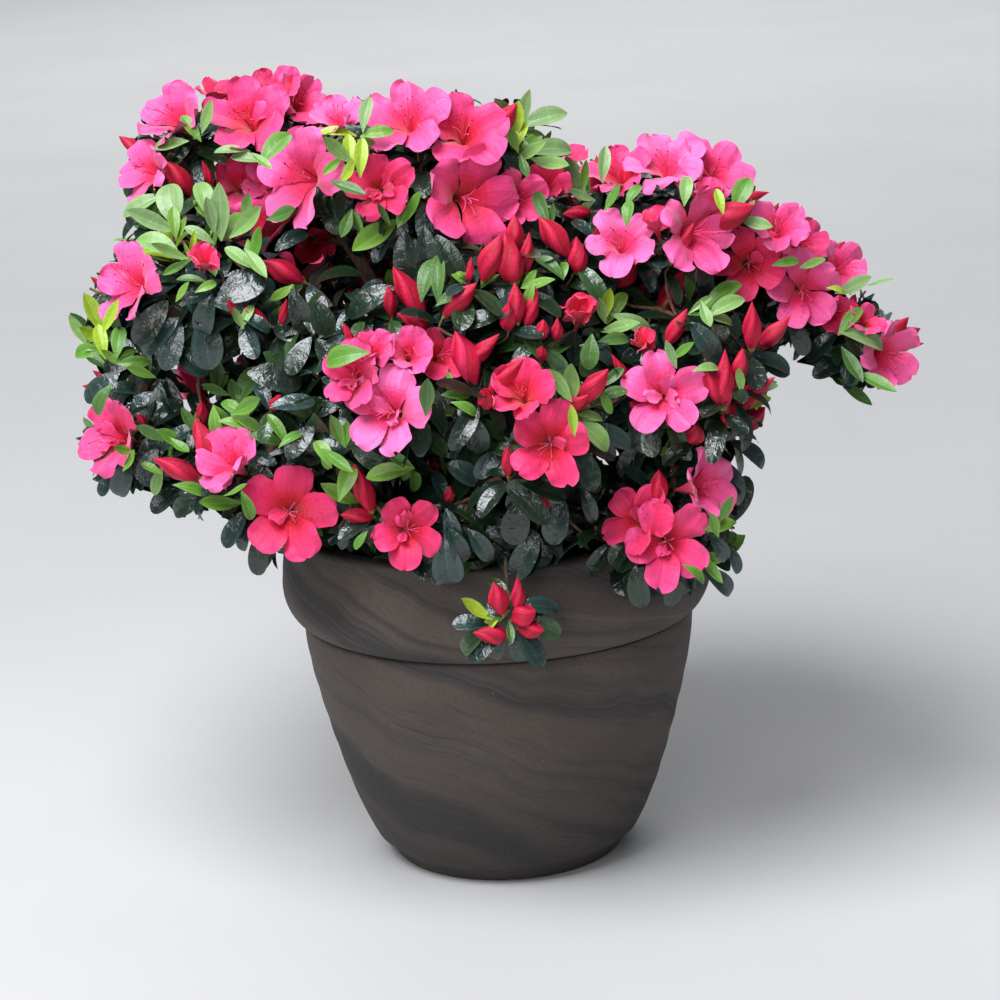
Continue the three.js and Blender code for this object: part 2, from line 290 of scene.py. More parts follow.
CLAY_TINTS = (68, 59, 53), (88, 78, 70)
STREAK_TINT, PALE_TINT, THIN_TINT = (41, 40, 41), (104, 98, 92), (38, 37, 38)
# The first tint below is painted shade for the pot's foot; the grain and specks are the clay's own.
FOOT_SHADE_TINT, GRAIN_TINT, SPECK_TINT = (36, 33, 31), (46, 42, 40), (150, 146, 138)
# How fast the streaks wind up the pot, in radians a metre, how far they waver, and how much longer
# they are round it than up it.
WINDING, WAVER, STREAK_STRETCH = 27.0, 1.1, (1, 1, 0.16)
# How quickly the painted shade at the pot's foot fades upwards, in shares a metre.
FOOT_SHADE_FADE = 8.0


def clay_material():
    """Dark streaks that wind round the pot, paler patches, painted shade that darkens its foot and
    fine specks. Each layer after the first has a mask, the stops that make it a share, and its
    tint."""
    n = Nodes("clay_finish")
    place = n.position()
    height = n.node("ShaderNodeSeparateXYZ", {0: place}).outputs[2]
    waver = n.math("MULTIPLY", n.noise(place, 11, 2), WAVER)
    twist = n.math("ADD", n.math("MULTIPLY", height, WINDING), waver)
    wound = n.node("ShaderNodeVectorRotate", {"Vector": place, "Angle": twist},
                   rotation_type="Z_AXIS")
    squeezed = n.stretched(wound.outputs[0], STREAK_STRETCH)
    sweep = n.noise(squeezed, 15, 6, 0.62)
    fine_sweep = n.noise(squeezed, 60, 4, 0.6)
    patch = n.noise(place, 9, 3)
    grain = n.noise(place, 420, 3, 0.7)
    speck = n.noise(place, 900, 1, 0.4)
    tone = n.ramp(patch, (0.3, CLAY_TINTS[0]), (0.72, CLAY_TINTS[1]))
    for mask, stops, tint in (
        (sweep, ((0.5, 0.0), (0.61, 0.85)), STREAK_TINT),
        (fine_sweep, ((0.58, 0.0), (0.74, 0.45)), PALE_TINT),
        (fine_sweep, ((0.3, 0.75), (0.43, 0.0)), THIN_TINT),
        # Painted shade: darker towards the pot's foot, fading upwards.
        (n.math("MULTIPLY", height, FOOT_SHADE_FADE), ((0.1, 0.68), (0.85, 0.0)), FOOT_SHADE_TINT),
        (grain, ((0.3, 0.5), (0.55, 0.0)), GRAIN_TINT),
        (speck, ((0.79, 0.0), (0.82, 0.75)), SPECK_TINT),
    ):
        tone = n.mix(n.ramp(mask, *stops), tone, n.colour(tint))
    n.link(tone, "Base Color")
    rough = n.math("ADD", n.math("MULTIPLY", sweep, 0.5), n.math("MULTIPLY", grain, 0.5))
    n.link(n.ramp(rough, (0.3, 0.62), (0.7, 0.86)), "Roughness")
    relief = n.math("ADD", n.math("MULTIPLY", grain, 0.6), n.math("MULTIPLY", fine_sweep, 0.8))
    n.bump(relief, strength=0.55, distance=1.2 * MM)
    return n.mat


# From the darkest tint to the palest, with a damp or weathered one laid over some.
MIX_TINTS, MIX_DAMP_TINT = ((18, 13, 10), (46, 33, 24), (92, 68, 48)), (30, 22, 17)
BARK_TINTS, LICHEN_TINT = ((44, 32, 24), (86, 66, 52), (128, 108, 90)), (104, 98, 88)
TWIG_TINTS = (66, 44, 32), (110, 78, 54), (134, 112, 76)
FLOOR_TINTS = (192, 192, 190), (197, 197, 195)


def mix_material():
    n = Nodes("mix_finish", Roughness=0.95)
    place = n.position()
    crumbs = n.noise(place, 260, 4, 0.7)
    damp = n.noise(place, 26, 2)
    tone = n.ramp(crumbs, *zip((0.32, 0.52, 0.75), MIX_TINTS))
    n.link(n.mix(n.math("MULTIPLY", damp, 0.5), tone, n.colour(MIX_DAMP_TINT)), "Base Color")
    n.bump(crumbs, strength=0.7, distance=2 * MM)
    return n.mat


def bark_material():
    n = Nodes("bark_finish", Roughness=0.9)
    place = n.position()
    flakes = n.noise(n.stretched(place, (1, 1, 0.25)), 330, 5, 0.65)
    tone = n.ramp(flakes, *zip((0.3, 0.5, 0.72), BARK_TINTS))
    lichen = n.ramp(n.noise(place, 60, 3), (0.4, 0.0), (0.7, 0.5))
    n.link(n.mix(lichen, tone, n.colour(LICHEN_TINT)), "Base Color")
    n.bump(flakes, strength=0.8, distance=0.8 * MM)
    return n.mat


def twig_material():
    n = Nodes("twig_finish", Roughness=0.8)
    tone = n.noise(n.position(), 140, 4, 0.6)
    n.link(n.ramp(tone, *zip((0.3, 0.55, 0.75), TWIG_TINTS)), "Base Color")
    n.bump(tone, strength=0.4, distance=0.3 * MM)
    return n.mat


def floor_material():
    n = Nodes("floor_finish", Roughness=0.9)
    tone = n.ramp(n.noise(n.position(), 2.5, 3), *zip((0.3, 0.7), FLOOR_TINTS))
    n.link(tone, "Base Color")
    return n.mat


# Templates: small surfaces of quads that are copied many times, in lengths of the thing itself. A
# band marks the quads that share a colour.

Template = namedtuple("Template", "points quads bands")


def joined(templates):
    starts = np.cumsum([0] + [len(t.points) for t in templates])
    quads = [t.quads + start for t, start in zip(templates, starts)]
    return Template(np.concatenate([t.points for t in templates]), np.concatenate(quads),
                    np.concatenate([t.bands for t in templates]))


def grid_quads(rows, cols, closed=False):
    """Quads of a grid of rows by cols cells, its points listed row by row."""
    wide = cols if closed else cols + 1
    i, j = np.meshgrid(np.arange(rows), np.arange(cols), indexing="ij")
    k = (j + 1) % wide
    quads = np.stack([i * wide + j, (i + 1) * wide + j, (i + 1) * wide + k, i * wide + k], -1)
    return quads.reshape(-1, 4)


def ring_quads(rows, sides):
    """Quads of a tube of rings, facing outwards."""
    return grid_quads(rows, sides, closed=True)[:, ::-1]


# Directions that hardly any axis follows, from which turns round an axis are counted.
ASIDE_OF_PATHS = [0.21, 0.34, 0.92]
ASIDE_OF_SHOOTS = [0.3, 0.2, 0.93]
ASIDE_OF_BLOOMS = [0.31, 0.22, 0.92]


def square_to(axis, aside):
    """Two directions at right angles to an axis and to each other, the first also to aside."""
    side = unit(np.cross(axis, aside))
    return side, np.cross(axis, side)


def tube_points(path, radii, sides):
    """Rings of points round a path."""
    along = unit(np.gradient(path, axis=0))
    side, across = square_to(along, ASIDE_OF_PATHS)
    turn = (FULL_TURN * np.arange(sides) / sides)[None, :, None]
    ring = np.cos(turn) * side[:, None] + np.sin(turn) * across[:, None]
    return path[:, None] + ring * np.asarray(radii)[:, None, None]


def tube(path, radii, sides, band):
    points = tube_points(path, radii, sides).reshape(-1, 3)
    quads = ring_quads(len(path) - 1, sides)
    return Template(points, quads, np.full(len(quads), band))


def turned(template, angle, shift=(0, 0, 0)):
    """A template turned about Z, then moved."""
    turn = np.array(Matrix.Rotation(angle, 3, "Z"))
    return template._replace(points=template.points @ turn.T + np.array(shift))


# Leaves. The rim, a band of painted highlight, is one quad wide, and the midrib a narrow strip that
# tapers to the tip. RIDGE_ROWS is how far each row across the blade stands up, and repeats;
# VEIN_SLANT leans the rows forward.
LEAF_END = 0.99
LEAST_WIDTH = 0.07
FOLD_EASING = 0.35
VEIN_SLANT = 0.3
RIDGE_ROWS = (0.0, 1.0, -1.0)
RIB_WIDTH, RIB_TAPER = 0.28, 0.75
RIB_BAND, RIM_HIGHLIGHT_BAND = 1, 2


def leaf(rows, cols, width, widest, point, fold, arch, quilt, twist):
    """A leaf of unit length along +X, its upper side facing +Z. The blade is folded up along its
    midrib, arched along its length, and quilt raises it between the side veins."""
    s, t = np.meshgrid(np.linspace(0, LEAF_END, rows + 1), np.linspace(-1, 1, cols + 1),
                       indexing="ij")
    ridge = np.array(RIDGE_ROWS)[np.arange(rows + 1) % len(RIDGE_ROWS)][:, None]
    s = s + VEIN_SLANT * np.abs(t) * s * (1 - s)
    rise, fall = widest * point, (1 - widest) * point
    outline = s**rise * (1 - s) ** fall / (widest**rise * (1 - widest) ** fall)
    half = width / 2 * np.maximum(outline, LEAST_WIDTH)
    y = half * t
    z = fold * np.abs(y) - FOLD_EASING * fold * half * t**2
    z += quilt * np.sin(math.pi * s) * np.abs(t) * (1 - t**2) * ridge
    turn, roll = arch * s, twist * s
    x = np.sin(turn) / arch + z * np.sin(turn)
    height = z * np.cos(turn) - (1 - np.cos(turn)) / arch + y * np.sin(roll)
    points = np.stack([x, y * np.cos(roll), height], -1)
    return Template(points.reshape(-1, 3), grid_quads(rows, cols), np.zeros(rows * cols, int))


def ribbed_leaf(rows, side_cols, **shape):
    """A leaf whose midrib is a strip of its own colour, and its rim too where there is room: a
    lighter band of painted highlight along the edge.
    """
    cols = 2 * side_cols + 1
    whole = leaf(rows, cols, **shape)
    grid = whole.points.reshape(rows + 1, cols + 1, 3)
    edges = [side_cols, side_cols + 1]
    middle = grid[:, edges].mean(1, keepdims=True)
    share = RIB_WIDTH * (1 - RIB_TAPER * np.linspace(0, 1, rows + 1))[:, None, None]
    grid[:, edges] = middle + (grid[:, edges] - middle) * share
    bands = np.zeros((rows, cols), int)
    bands[: rows - 1, side_cols] = RIB_BAND
    if side_cols > 1:
        bands[:, [0, -1]] = RIM_HIGHLIGHT_BAND
    return whole._replace(points=grid.reshape(-1, 3), bands=bands.ravel())


LEAF_NUMBERS = ("width", "widest", "fold", "arch", "twist")
DARK_SHAPES = [
    (0.46, 0.58, 0.4, 0.6, 0.0), (0.4, 0.55, 0.55, 0.9, 0.15), (0.48, 0.6, 0.3, 0.4, -0.12),
    (0.43, 0.58, 0.48, 1.15, 0.0),
]
FRESH_SHAPES = [
    (0.36, 0.58, 0.8, 0.6, 0.25), (0.33, 0.55, 1.0, -0.5, -0.3), (0.4, 0.59, 0.65, 1.0, -0.25),
    (0.35, 0.57, 0.9, -0.9, 0.15),
]
DARK_POINT, FRESH_POINT = 1.35, 1.9
DARK_QUILT, FRESH_QUILT = 0.03, 0.024
# How finely a leaf is made: where the camera sees it, on the outside, and deep in the crown. Each
# grid is the number of rows, and of columns at each side of the midrib or, deep inside, in all.
SEEN, OUTER, INNER = 1, 0, -1
DARK_GRIDS = {SEEN: (12, 2), OUTER: (6, 1), INNER: (4, 2)}
FRESH_GRIDS = {SEEN: (10, 2), OUTER: (5, 1)}


def dark_templates():
    shapes = [dict(zip(LEAF_NUMBERS, row), point=DARK_POINT) for row in DARK_SHAPES]
    return {
        SEEN: [ribbed_leaf(*DARK_GRIDS[SEEN], quilt=DARK_QUILT, **shape) for shape in shapes],
        OUTER: [ribbed_leaf(*DARK_GRIDS[OUTER], quilt=0, **shape) for shape in shapes],
        INNER: [leaf(*DARK_GRIDS[INNER], quilt=0, **shape) for shape in shapes[:2]],
    }


def fresh_templates():
    shapes = [dict(zip(LEAF_NUMBERS, row), point=FRESH_POINT, quilt=FRESH_QUILT)
              for row in FRESH_SHAPES]
    return {level: [ribbed_leaf(*grid, **shape) for shape in shapes]
            for level, grid in FRESH_GRIDS.items()}


# Blooms. A petal has a tube, which is fused with its neighbours' when it is an outer one, and a
# lobe; its veins are narrow columns of a darker band.
PETALS = 5
PETAL_HALF_TURN = math.pi / PETALS
VEIN_HALF_WIDTH = 0.016
VEIN_DARKER = 3
VEIN_SUNK = 0.002
ROWS_CROWD = 0.85
MOUTH = 0.25
FUSED_OVERLAP, FREE_FOOT = 1.03, 0.35
FUSED_TO, LOBE_FROM, FLAT_FROM = 0.75, 1.5, 0.7
OVERLAP, OVERLAP_SPREAD = 0.24, 0.1
LOBE_WIDEST, LOBE_BLUNT = (0.56, 0.66), (2.2, 2.9)
LOBE_END = 1.004
SWAY, CUP = (-0.05, 0.05), (-0.05, 0.06)
CREASE_DEPTH, CREASE_WIDTH = 0.022, 0.2
NOTCH_DEPTH, NOTCH_WIDTH, NOTCH_FROM = (-0.01, 0.035), 0.3, 0.8
# Strength and waves, along the petal's edges and then across its face.
EDGE_WAVES = ((1.0, 3.0), (0.8, 7.2))
FACE_WAVES = ((0.8, 1.2), (0.35, 3.1))
EDGE_PHASE = 1.6
# The bands at the foot, the throat, just past it, half way out and near the rim.
BANDS_TO_RIM, PAST_THROAT, HALF_OUT, NEAR_RIM = [1, 6, 10, 13, 16], 0.12, 0.6, 0.95
LAST_BAND, SPOT_BAND = 18, 99

OPEN_LEANS = {
    "open": (8, 38, 70, 92),
    "cupped": (8, 32, 58, 66),
    "trumpet": (7, 22, 44, 62),
    "half": (6, 12, 24, 26),
}
LEAN_SPREAD, LEAN_SHARES, TURN_SPREAD = 16, np.array([0, 0.15, 0.7, 1.5]), 0.07
# Rows and veins of a petal: of the listed blooms, of the others, and of small inner petals.
FINE_GRID, PLAIN_GRID, INNER_GRID = (17, 5), (10, 3), (8, 3)
RIM_PERCENTILE = 98
# Of the outer petals and then of the small ones inside some blooms: the tube's length, the radius
# it starts at, and the least and most of the lobe's length and half width.
OUTER_TUBE, OUTER_START, OUTER_LOBE, OUTER_HALF = 0.34, 0.008, (0.38, 0.46), (0.19, 0.235)
INNER_TUBE, INNER_START, INNER_LOBE, INNER_HALF = 0.08, 0.02, (0.2, 0.3), (0.07, 0.11)
OUTER_RUFFLE, INNER_RUFFLE = (0.022, 0.038), 0.03
INNER_LEAN, INNER_OPENS = (10, 26), np.array([0, 5, 22, 40])
INNER_DEPTH, INNER_PALER = 0.08, 2
SPECKS, SPECK_ROWS, SPECK_PLACES = 16, 4, (0.25, 0.75)
SPECK_HALF_LONG, SPECK_SLIM, SPECK_OFF = 0.006, 0.6, 0.004


def vein_columns(veins):
    """Places across a petal, from -1 to 1, of the edges of its veins and of the blade between."""
    middles = np.linspace(-1, 1, veins + 2)[1:-1]
    edges = np.stack([middles - VEIN_HALF_WIDTH, middles + VEIN_HALF_WIDTH], -1)
    return np.concatenate([[-1.0], edges.ravel(), [1.0]])


def petal(rows, veins, lean, tube, lobe, half_width, ruffle, fused, start_radius, rand):
    """One petal of a bloom one unit across that faces +Z, standing out along +X. lean gives its
    angle from +Z, in degrees, at its foot, its throat, half way out and its tip."""
    length = tube + lobe
    throat = tube / length
    in_tube = rows // 4
    out = np.sin(np.linspace(0, math.pi / 2, rows - in_tube + 1)[1:]) ** ROWS_CROWD
    s = np.concatenate([np.linspace(0, throat, in_tube + 1), throat + (1 - throat) * out])
    angle = np.radians(np.interp(s, [0, throat, (1 + throat) / 2, 1], lean))
    step = np.diff(s, prepend=0) * length
    r = start_radius + np.cumsum(np.sin(angle) * step)
    h = np.cumsum(np.cos(angle) * step)
    h -= np.interp(throat + MOUTH, s, h)
    widest = throat + rand.uniform(*LOBE_WIDEST) * (1 - throat)
    beyond = np.clip((s - widest) / (LOBE_END - widest), 0, 1)
    lobe_half = half_width * (1 - beyond ** rand.uniform(*LOBE_BLUNT)) ** 0.5
    foot_half = np.full_like(r, half_width * FREE_FOOT)
    if fused:
        foot_half = r * math.tan(PETAL_HALF_TURN) * FUSED_OVERLAP
    half = foot_half + (lobe_half - foot_half) * smooth(s, throat * FUSED_TO, widest)
    t = vein_columns(veins)
    cols = len(t) - 1
    S, T = np.meshgrid(s, t, indexing="ij")
    R, H, W, A = (np.repeat(v[:, None], cols + 1, 1) for v in (r, h, half, angle))
    flat = smooth(S, throat * FLAT_FROM, throat * LOBE_FROM)
    sway = rand.uniform(*SWAY) * flat * S**2
    x, y = R, W * T
    if fused:
        x = R * flat + R * np.cos(T * PETAL_HALF_TURN) * (1 - flat)
        y = W * T * flat + R * np.sin(T * PETAL_HALF_TURN) * (1 - flat) + sway
    phase = rand.uniform(0, FULL_TURN, 4)
    side_phases = phase[0] + EDGE_PHASE * np.sign(T), phase[1] * np.sign(T)
    wave = sum(strength * T**2 * flat * np.sin(math.pi * waves * S + lag)
               for (strength, waves), lag in zip(EDGE_WAVES, side_phases))
    for power, ((strength, waves), lag) in enumerate(zip(FACE_WAVES, phase[2:]), 1):
        wave += strength * flat * S**power * np.sin(math.pi * waves * T + lag)
    crease = -CREASE_DEPTH * np.exp(-((T / CREASE_WIDTH) ** 2)) * flat * (1 - 0.5 * S)
    cup = rand.uniform(*CUP) * T**2 * flat * S
    roll = (OVERLAP + rand.uniform(-OVERLAP_SPREAD, OVERLAP_SPREAD)) * W * T * flat
    off = ruffle * wave + crease + cup + roll
    off[:, 1:-1:2] -= VEIN_SUNK
    notch = rand.uniform(*NOTCH_DEPTH) * np.exp(-((T / NOTCH_WIDTH) ** 2))
    notch = notch * smooth(S, NOTCH_FROM, 1)
    points = np.stack([x - off * np.cos(A) - notch * np.sin(A), y, H + off * np.sin(A)], -1)
    middle = np.repeat((s[:-1, None] + s[1:, None]) / 2, cols, 1)
    shares = [0, throat, throat + PAST_THROAT, HALF_OUT, NEAR_RIM]
    bands = np.round(np.interp(middle, shares, BANDS_TO_RIM))
    bands[in_tube + 1 :, [0, -1]] += 1
    bands[:, 1::2] -= VEIN_DARKER
    bands = np.clip(bands, 0, LAST_BAND).astype(int).ravel()
    return Template(points.reshape(-1, 3), grid_quads(rows, cols), bands)


def specks(whole, rows, cols, rand):
    """Small spots that lie on a petal's upper side, just past its throat."""
    grid = whole.points.reshape(rows + 1, cols + 1, 3)
    points = []
    for _ in range(SPECKS):
        i = int(rand.integers(rows // 3, rows // 3 + SPECK_ROWS))
        j = 2 * int(rand.integers(1, cols // 2))
        foot, right, tip_right, tip = grid[[i, i, i + 1, i + 1], [j, j + 1, j + 1, j]]
        u, v = rand.uniform(*SPECK_PLACES, 2)
        centre = (foot * (1 - u) + tip * u) * (1 - v) + (right * (1 - u) + tip_right * u) * v
        normal = unit(np.cross(right - foot, tip - foot))
        if normal[2] < 0:
            normal = -normal
        along = SPECK_HALF_LONG * unit(tip - foot)
        across = SPECK_SLIM * np.cross(normal, along)
        for a, b in ((-1, -1), (1, -1), (1, 1), (-1, 1)):
            points.append(centre + SPECK_OFF * normal + a * along + b * across)
    quads = np.arange(len(points)).reshape(-1, 4)
    return Template(np.array(points), quads, np.full(SPECKS, SPOT_BAND))


def bloom(kind, extra, fine, rand):
    """A bloom that faces +Z, one unit across, its mouth at the origin, with extra inner petals."""
    parts = []
    rows, veins = FINE_GRID if fine else PLAIN_GRID
    for k in range(PETALS):
        lean = OPEN_LEANS[kind] + rand.uniform(-LEAN_SPREAD, LEAN_SPREAD) * LEAN_SHARES
        one = petal(rows, veins, lean, OUTER_TUBE, rand.uniform(*OUTER_LOBE),
                    rand.uniform(*OUTER_HALF), rand.uniform(*OUTER_RUFFLE), True, OUTER_START, rand)
        turn = FULL_TURN * (k + rand.uniform(-TURN_SPREAD, TURN_SPREAD)) / PETALS
        parts.append(turned(one, turn))
        if k == 0 and fine:
            parts.append(turned(specks(one, rows, 2 * veins + 1, rand), turn))
    for _ in range(extra):
        lean = rand.uniform(*INNER_LEAN) + INNER_OPENS
        one = petal(*INNER_GRID, lean, INNER_TUBE, rand.uniform(*INNER_LOBE),
                    rand.uniform(*INNER_HALF), INNER_RUFFLE, False, INNER_START, rand)
        one = one._replace(bands=one.bands + INNER_PALER)
        parts.append(turned(one, rand.uniform(0, FULL_TURN), (0, 0, -INNER_DEPTH)))
    whole = joined(parts)
    across = 2 * np.percentile(np.linalg.norm(whole.points[:, :2], axis=1), RIM_PERCENTILE)
    return whole._replace(points=whole.points / across)


FILAMENT_BAND, ANTHER_BAND = 15, 99
STAMENS = 5
STYLE_STRAY, STAMEN_STRAY = 0.9, 0.3
STYLE_REACH, STAMEN_REACH, STAMEN_SPREAD = 0.46, (0.22, 0.34), (0.04, 0.13)
STAMEN_FOOT, STAMEN_DEPTH, STAMEN_SAG = 0.012, 0.14, np.array([0.06, 0, 0])
STAMEN_ROWS, FILAMENT_SIDES, ANTHER_SIDES = 6, 4, 5
FILAMENT_RADII, ANTHER_RADII = (0.007, 0.005), (0.003, 0.01, 0.003)
ANTHER_PATH = np.array([[0, 0, -0.01], [0, 0, 0.0], [0, 0, 0.012]])


def stamens(rand):
    """Filaments with their anthers, and the longer style, of a bloom one unit across."""
    parts = []
    for k in range(STAMENS + 1):
        style = k == STAMENS
        stray = STYLE_STRAY if style else STAMEN_STRAY
        turn = FULL_TURN * k / STAMENS + rand.uniform(-stray, stray)
        reach = STYLE_REACH if style else rand.uniform(*STAMEN_REACH)
        spread = rand.uniform(*STAMEN_SPREAD)
        s = np.linspace(0, 1, STAMEN_ROWS)[:, None]
        out = np.array([math.cos(turn), math.sin(turn), 0])
        path = (s * reach - STAMEN_DEPTH) * WORLD_UP
        path = path + out * (STAMEN_FOOT + spread * s**2) + STAMEN_SAG * s**2
        radii = np.linspace(*FILAMENT_RADII, STAMEN_ROWS)
        parts.append(tube(path, radii, FILAMENT_SIDES, FILAMENT_BAND))
        parts.append(tube(path[-1] + ANTHER_PATH, ANTHER_RADII, ANTHER_SIDES, ANTHER_BAND))
    return joined(parts)


BUD_CALYX_BAND = 99
BUD_LAP, LAP_LEVEL = 0.3, 0.45
# Where each wrapped petal turns a step lighter towards its overlapping edge: partly its paler edge,
# partly a painted highlight where it stands out.
LAP_STARTS, LAP_EDGE_AND_HIGHLIGHT_BANDS = (0.05, 0.4), (0.3, 0.55)
BUD_LEAN = 0.08
BUD_ENDS, BUD_BLUNT, BUD_TIP_SLIM = (0.03, 0.99), 0.8, 0.25


def bud(rows, cols, plump, ribs, twist, fullest, rand):
    """A closed bud of unit length along +Z, its petals wrapped round one another."""
    s = np.linspace(0, 1, rows + 1)
    wave = rand.uniform(0, FULL_TURN)
    power = math.log(0.5) / math.log(fullest)
    r = plump * np.sin(math.pi * np.clip(s, *BUD_ENDS) ** power) ** BUD_BLUNT
    r *= 1 - BUD_TIP_SLIM * s**3
    S, A = np.meshgrid(s, FULL_TURN * np.arange(cols) / cols, indexing="ij")
    lap = np.mod(ribs * A / FULL_TURN, 1.0)
    A = A + twist * S + wave
    R = r[:, None] * (1 + BUD_LAP * (lap - LAP_LEVEL) * smooth(S, *LAP_STARTS))
    lean = BUD_LEAN * math.sin(wave) * S**2
    points = np.stack([R * np.cos(A) + lean, R * np.sin(A), S], -1)
    # Lighter towards each petal's overlapping edge: paler petal edge and painted highlight
    # together.
    bands = sum((lap[:-1] > edge).astype(int) for edge in LAP_EDGE_AND_HIGHLIGHT_BANDS)
    bands[0] = BUD_CALYX_BAND
    return Template(points.reshape(-1, 3), ring_quads(rows, cols), bands.ravel())


# Heaps: many copies of templates, joined into pieces of at most TRIANGLE_LIMIT triangles.

TRIANGLE_LIMIT = 190_000
# How far past the CAD's box a copy may reach: a share of the box's side and a length.
REACH_SHARE, REACH_PAST = 0.03, 9.6 * MM
reach = REACH_SHARE * (np.array(cad_high) - np.array(cad_low)) + REACH_PAST
reach_low, reach_high = np.array(cad_low) - reach, np.array(cad_high) + reach


def frames_of(x_axis, z_near):
    """Rotations whose X is x_axis and whose Z is as near z_near as can be."""
    x = unit(x_axis)
    z = unit(z_near - np.sum(z_near * x, -1, keepdims=True) * x)
    return np.stack([x, np.cross(z, x), z], -1)


def frames_facing(z_axis, turn):
    """Rotations whose Z is z_axis, turned about it."""
    z = unit(z_axis)
    side, across = square_to(z, ASIDE_OF_BLOOMS)
    x = np.cos(turn)[:, None] * side + np.sin(turn)[:, None] * across
    return np.stack([x, np.cross(z, x), z], -1)


def placed_copies(template, frames, sizes, places):
    """The points of each copy of a template."""
    sized = template.points[None] * sizes[:, None]
    return np.einsum("nij,nvj->nvi", frames, sized) + places[:, None]


class Heap:
    """Copies of templates, gathered to be joined. Those that reach too far are left out."""

    def __init__(self, name, materials, record_slot, slot_rule):
        self.name, self.materials = name, materials
        self.record_slot, self.slot_rule = record_slot, slot_rule
        self.batches = []

    def add(self, template, frames, sizes, places, tints):
        frames, places, tints = np.asarray(frames), np.asarray(places), np.asarray(tints)
        sizes = np.asarray(sizes, float)
        if sizes.ndim == 1:
            sizes = np.repeat(sizes[:, None], 3, 1)
        placed = placed_copies(template, frames, sizes, places)
        held = np.all((placed > reach_low) & (placed < reach_high), axis=(1, 2))
        self.batches.append((template, frames[held], sizes[held], places[held], tints[held]))

    def build(self):
        pieces, part, room = [], [], TRIANGLE_LIMIT
        for template, *copies in self.batches:
            each = 2 * len(template.quads)
            start, end = 0, len(copies[0])
            while start < end:
                take = min(end - start, room // each)
                if take == 0:
                    pieces.append(part)
                    part, room = [], TRIANGLE_LIMIT
                    continue
                part.append((template, *(c[start : start + take] for c in copies)))
                start += take
                room -= take * each
        pieces.append(part)
        return [self.mesh(part, i + 1) for i, part in enumerate(pieces) if part]

    def mesh(self, part, number):
        points, quads, slots, start = [], [], [], 0
        for template, frames, sizes, places, tints in part:
            placed = placed_copies(template, frames, sizes, places)
            n, v = placed.shape[:2]
            firsts = start + v * np.arange(n)
            points.append(placed.reshape(-1, 3))
            quads.append((template.quads[None] + firsts[:, None, None]).reshape(-1, 4))
            slots.append(self.slot_rule(tints[:, None], template.bands[None]).ravel())
            start += n * v
        return make_piece(f"{self.name}_{number}", np.concatenate(points), np.concatenate(quads),
                          self.materials, np.concatenate(slots))


def make_piece(name, points, quads, materials, slots):
    """A mesh object of quads, riding on the root."""
    mesh = bpy.data.meshes.new(name)
    mesh.vertices.add(len(points))
    mesh.vertices.foreach_set("co", np.ascontiguousarray(points, np.float32).ravel())
    mesh.loops.add(4 * len(quads))
    mesh.loops.foreach_set("vertex_index", np.ascontiguousarray(quads, np.int32).ravel())
    mesh.polygons.add(len(quads))
    mesh.polygons.foreach_set("loop_start", np.arange(0, 4 * len(quads), 4, dtype=np.int32))
    for mat in materials:
        mesh.materials.append(mat)
    mesh.polygons.foreach_set("material_index", np.ascontiguousarray(slots, np.int32))
    mesh.shade_smooth()
    mesh.update(calc_edges=True)
    mesh.validate()
    piece = linked(name, mesh)
    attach(piece, "root")
    return piece


# The place of a quad's colour among its piece's materials, by its copy's tint and its band.


def leaf_slots(tints, bands):
    return 3 * tints + bands


def petal_slots(tints, bands):
    spot = len(PETAL_TINTS)
    return np.where(bands == SPOT_BAND, spot, np.clip(2 * tints + bands, 0, spot - 1))


def stamen_slots(tints, bands):
    return np.where(bands == ANTHER_BAND, len(PETAL_TINTS), bands)


def bud_slots(tints, bands):
    calyx = len(BUD_TINTS)
    return np.where(bands == BUD_CALYX_BAND, calyx, np.clip(tints + bands, 0, calyx - 1))


# The crown's masses, as the frame gives them.

MASS_PREFIX = "foliage_"
SPRIG_MASS = MASS_PREFIX + "front_sprig"
mass_names = sorted(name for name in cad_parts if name.startswith(MASS_PREFIX))
CROWN_CENTRE = np.array([0.0, 0.0, 0.29])


def read_crown():
    """The points and triangles of all masses, and which mass each triangle is of."""
    points, triangles, owners, start = [], [], [], 0
    for i, name in enumerate(mass_names):
        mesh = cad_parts[name].data
        mesh.calc_loop_triangles()
        points.append(np.array([v.co for v in mesh.vertices]))
        triangles.append(np.array([t.vertices for t in mesh.loop_triangles]) + start)
        owners.append(np.full(len(triangles[-1]), i))
        start += len(points[-1])
    return np.concatenate(points), np.concatenate(triangles), np.concatenate(owners)


crown_points, crown_triangles, crown_owners = read_crown()
crown = BVHTree.FromPolygons([Vector(p) for p in crown_points], crown_triangles.tolist())
OPEN_AIR, CLEAR = 40 * MM, 3 * MM


def surface_samples(count):
    """Points spread over the masses, with their normals and masses, where there is open air."""
    a, b, c = (crown_points[crown_triangles[:, k]] for k in range(3))
    cross = np.cross(b - a, c - a)
    area = np.linalg.norm(cross, axis=1)
    pick = rng.choice(len(area), count, p=area / area.sum())
    u, v = rng.random((2, count, 1))
    flip = u + v > 1
    u, v = np.where(flip, 1 - u, u), np.where(flip, 1 - v, v)
    points = a[pick] + u * (b - a)[pick] + v * (c - a)[pick]
    normals = unit(cross[pick])
    free = np.array([
        crown.ray_cast(Vector(p + CLEAR * n), Vector(n), OPEN_AIR)[0] is None
        for p, n in zip(points, normals)
    ])
    return points[free], normals[free], crown_owners[pick][free]


def spread_out(points, spacing):
    """The numbers of points that keep a spacing from those before them."""
    kept = []
    for i, p in enumerate(points):
        if not kept or np.min(np.sum((points[kept] - p) ** 2, 1)) > spacing**2:
            kept.append(i)
    return np.array(kept)


CROWN_NEAR, CROWN_FAR, SEAT_STEPS = 1.6, 2.2, 61


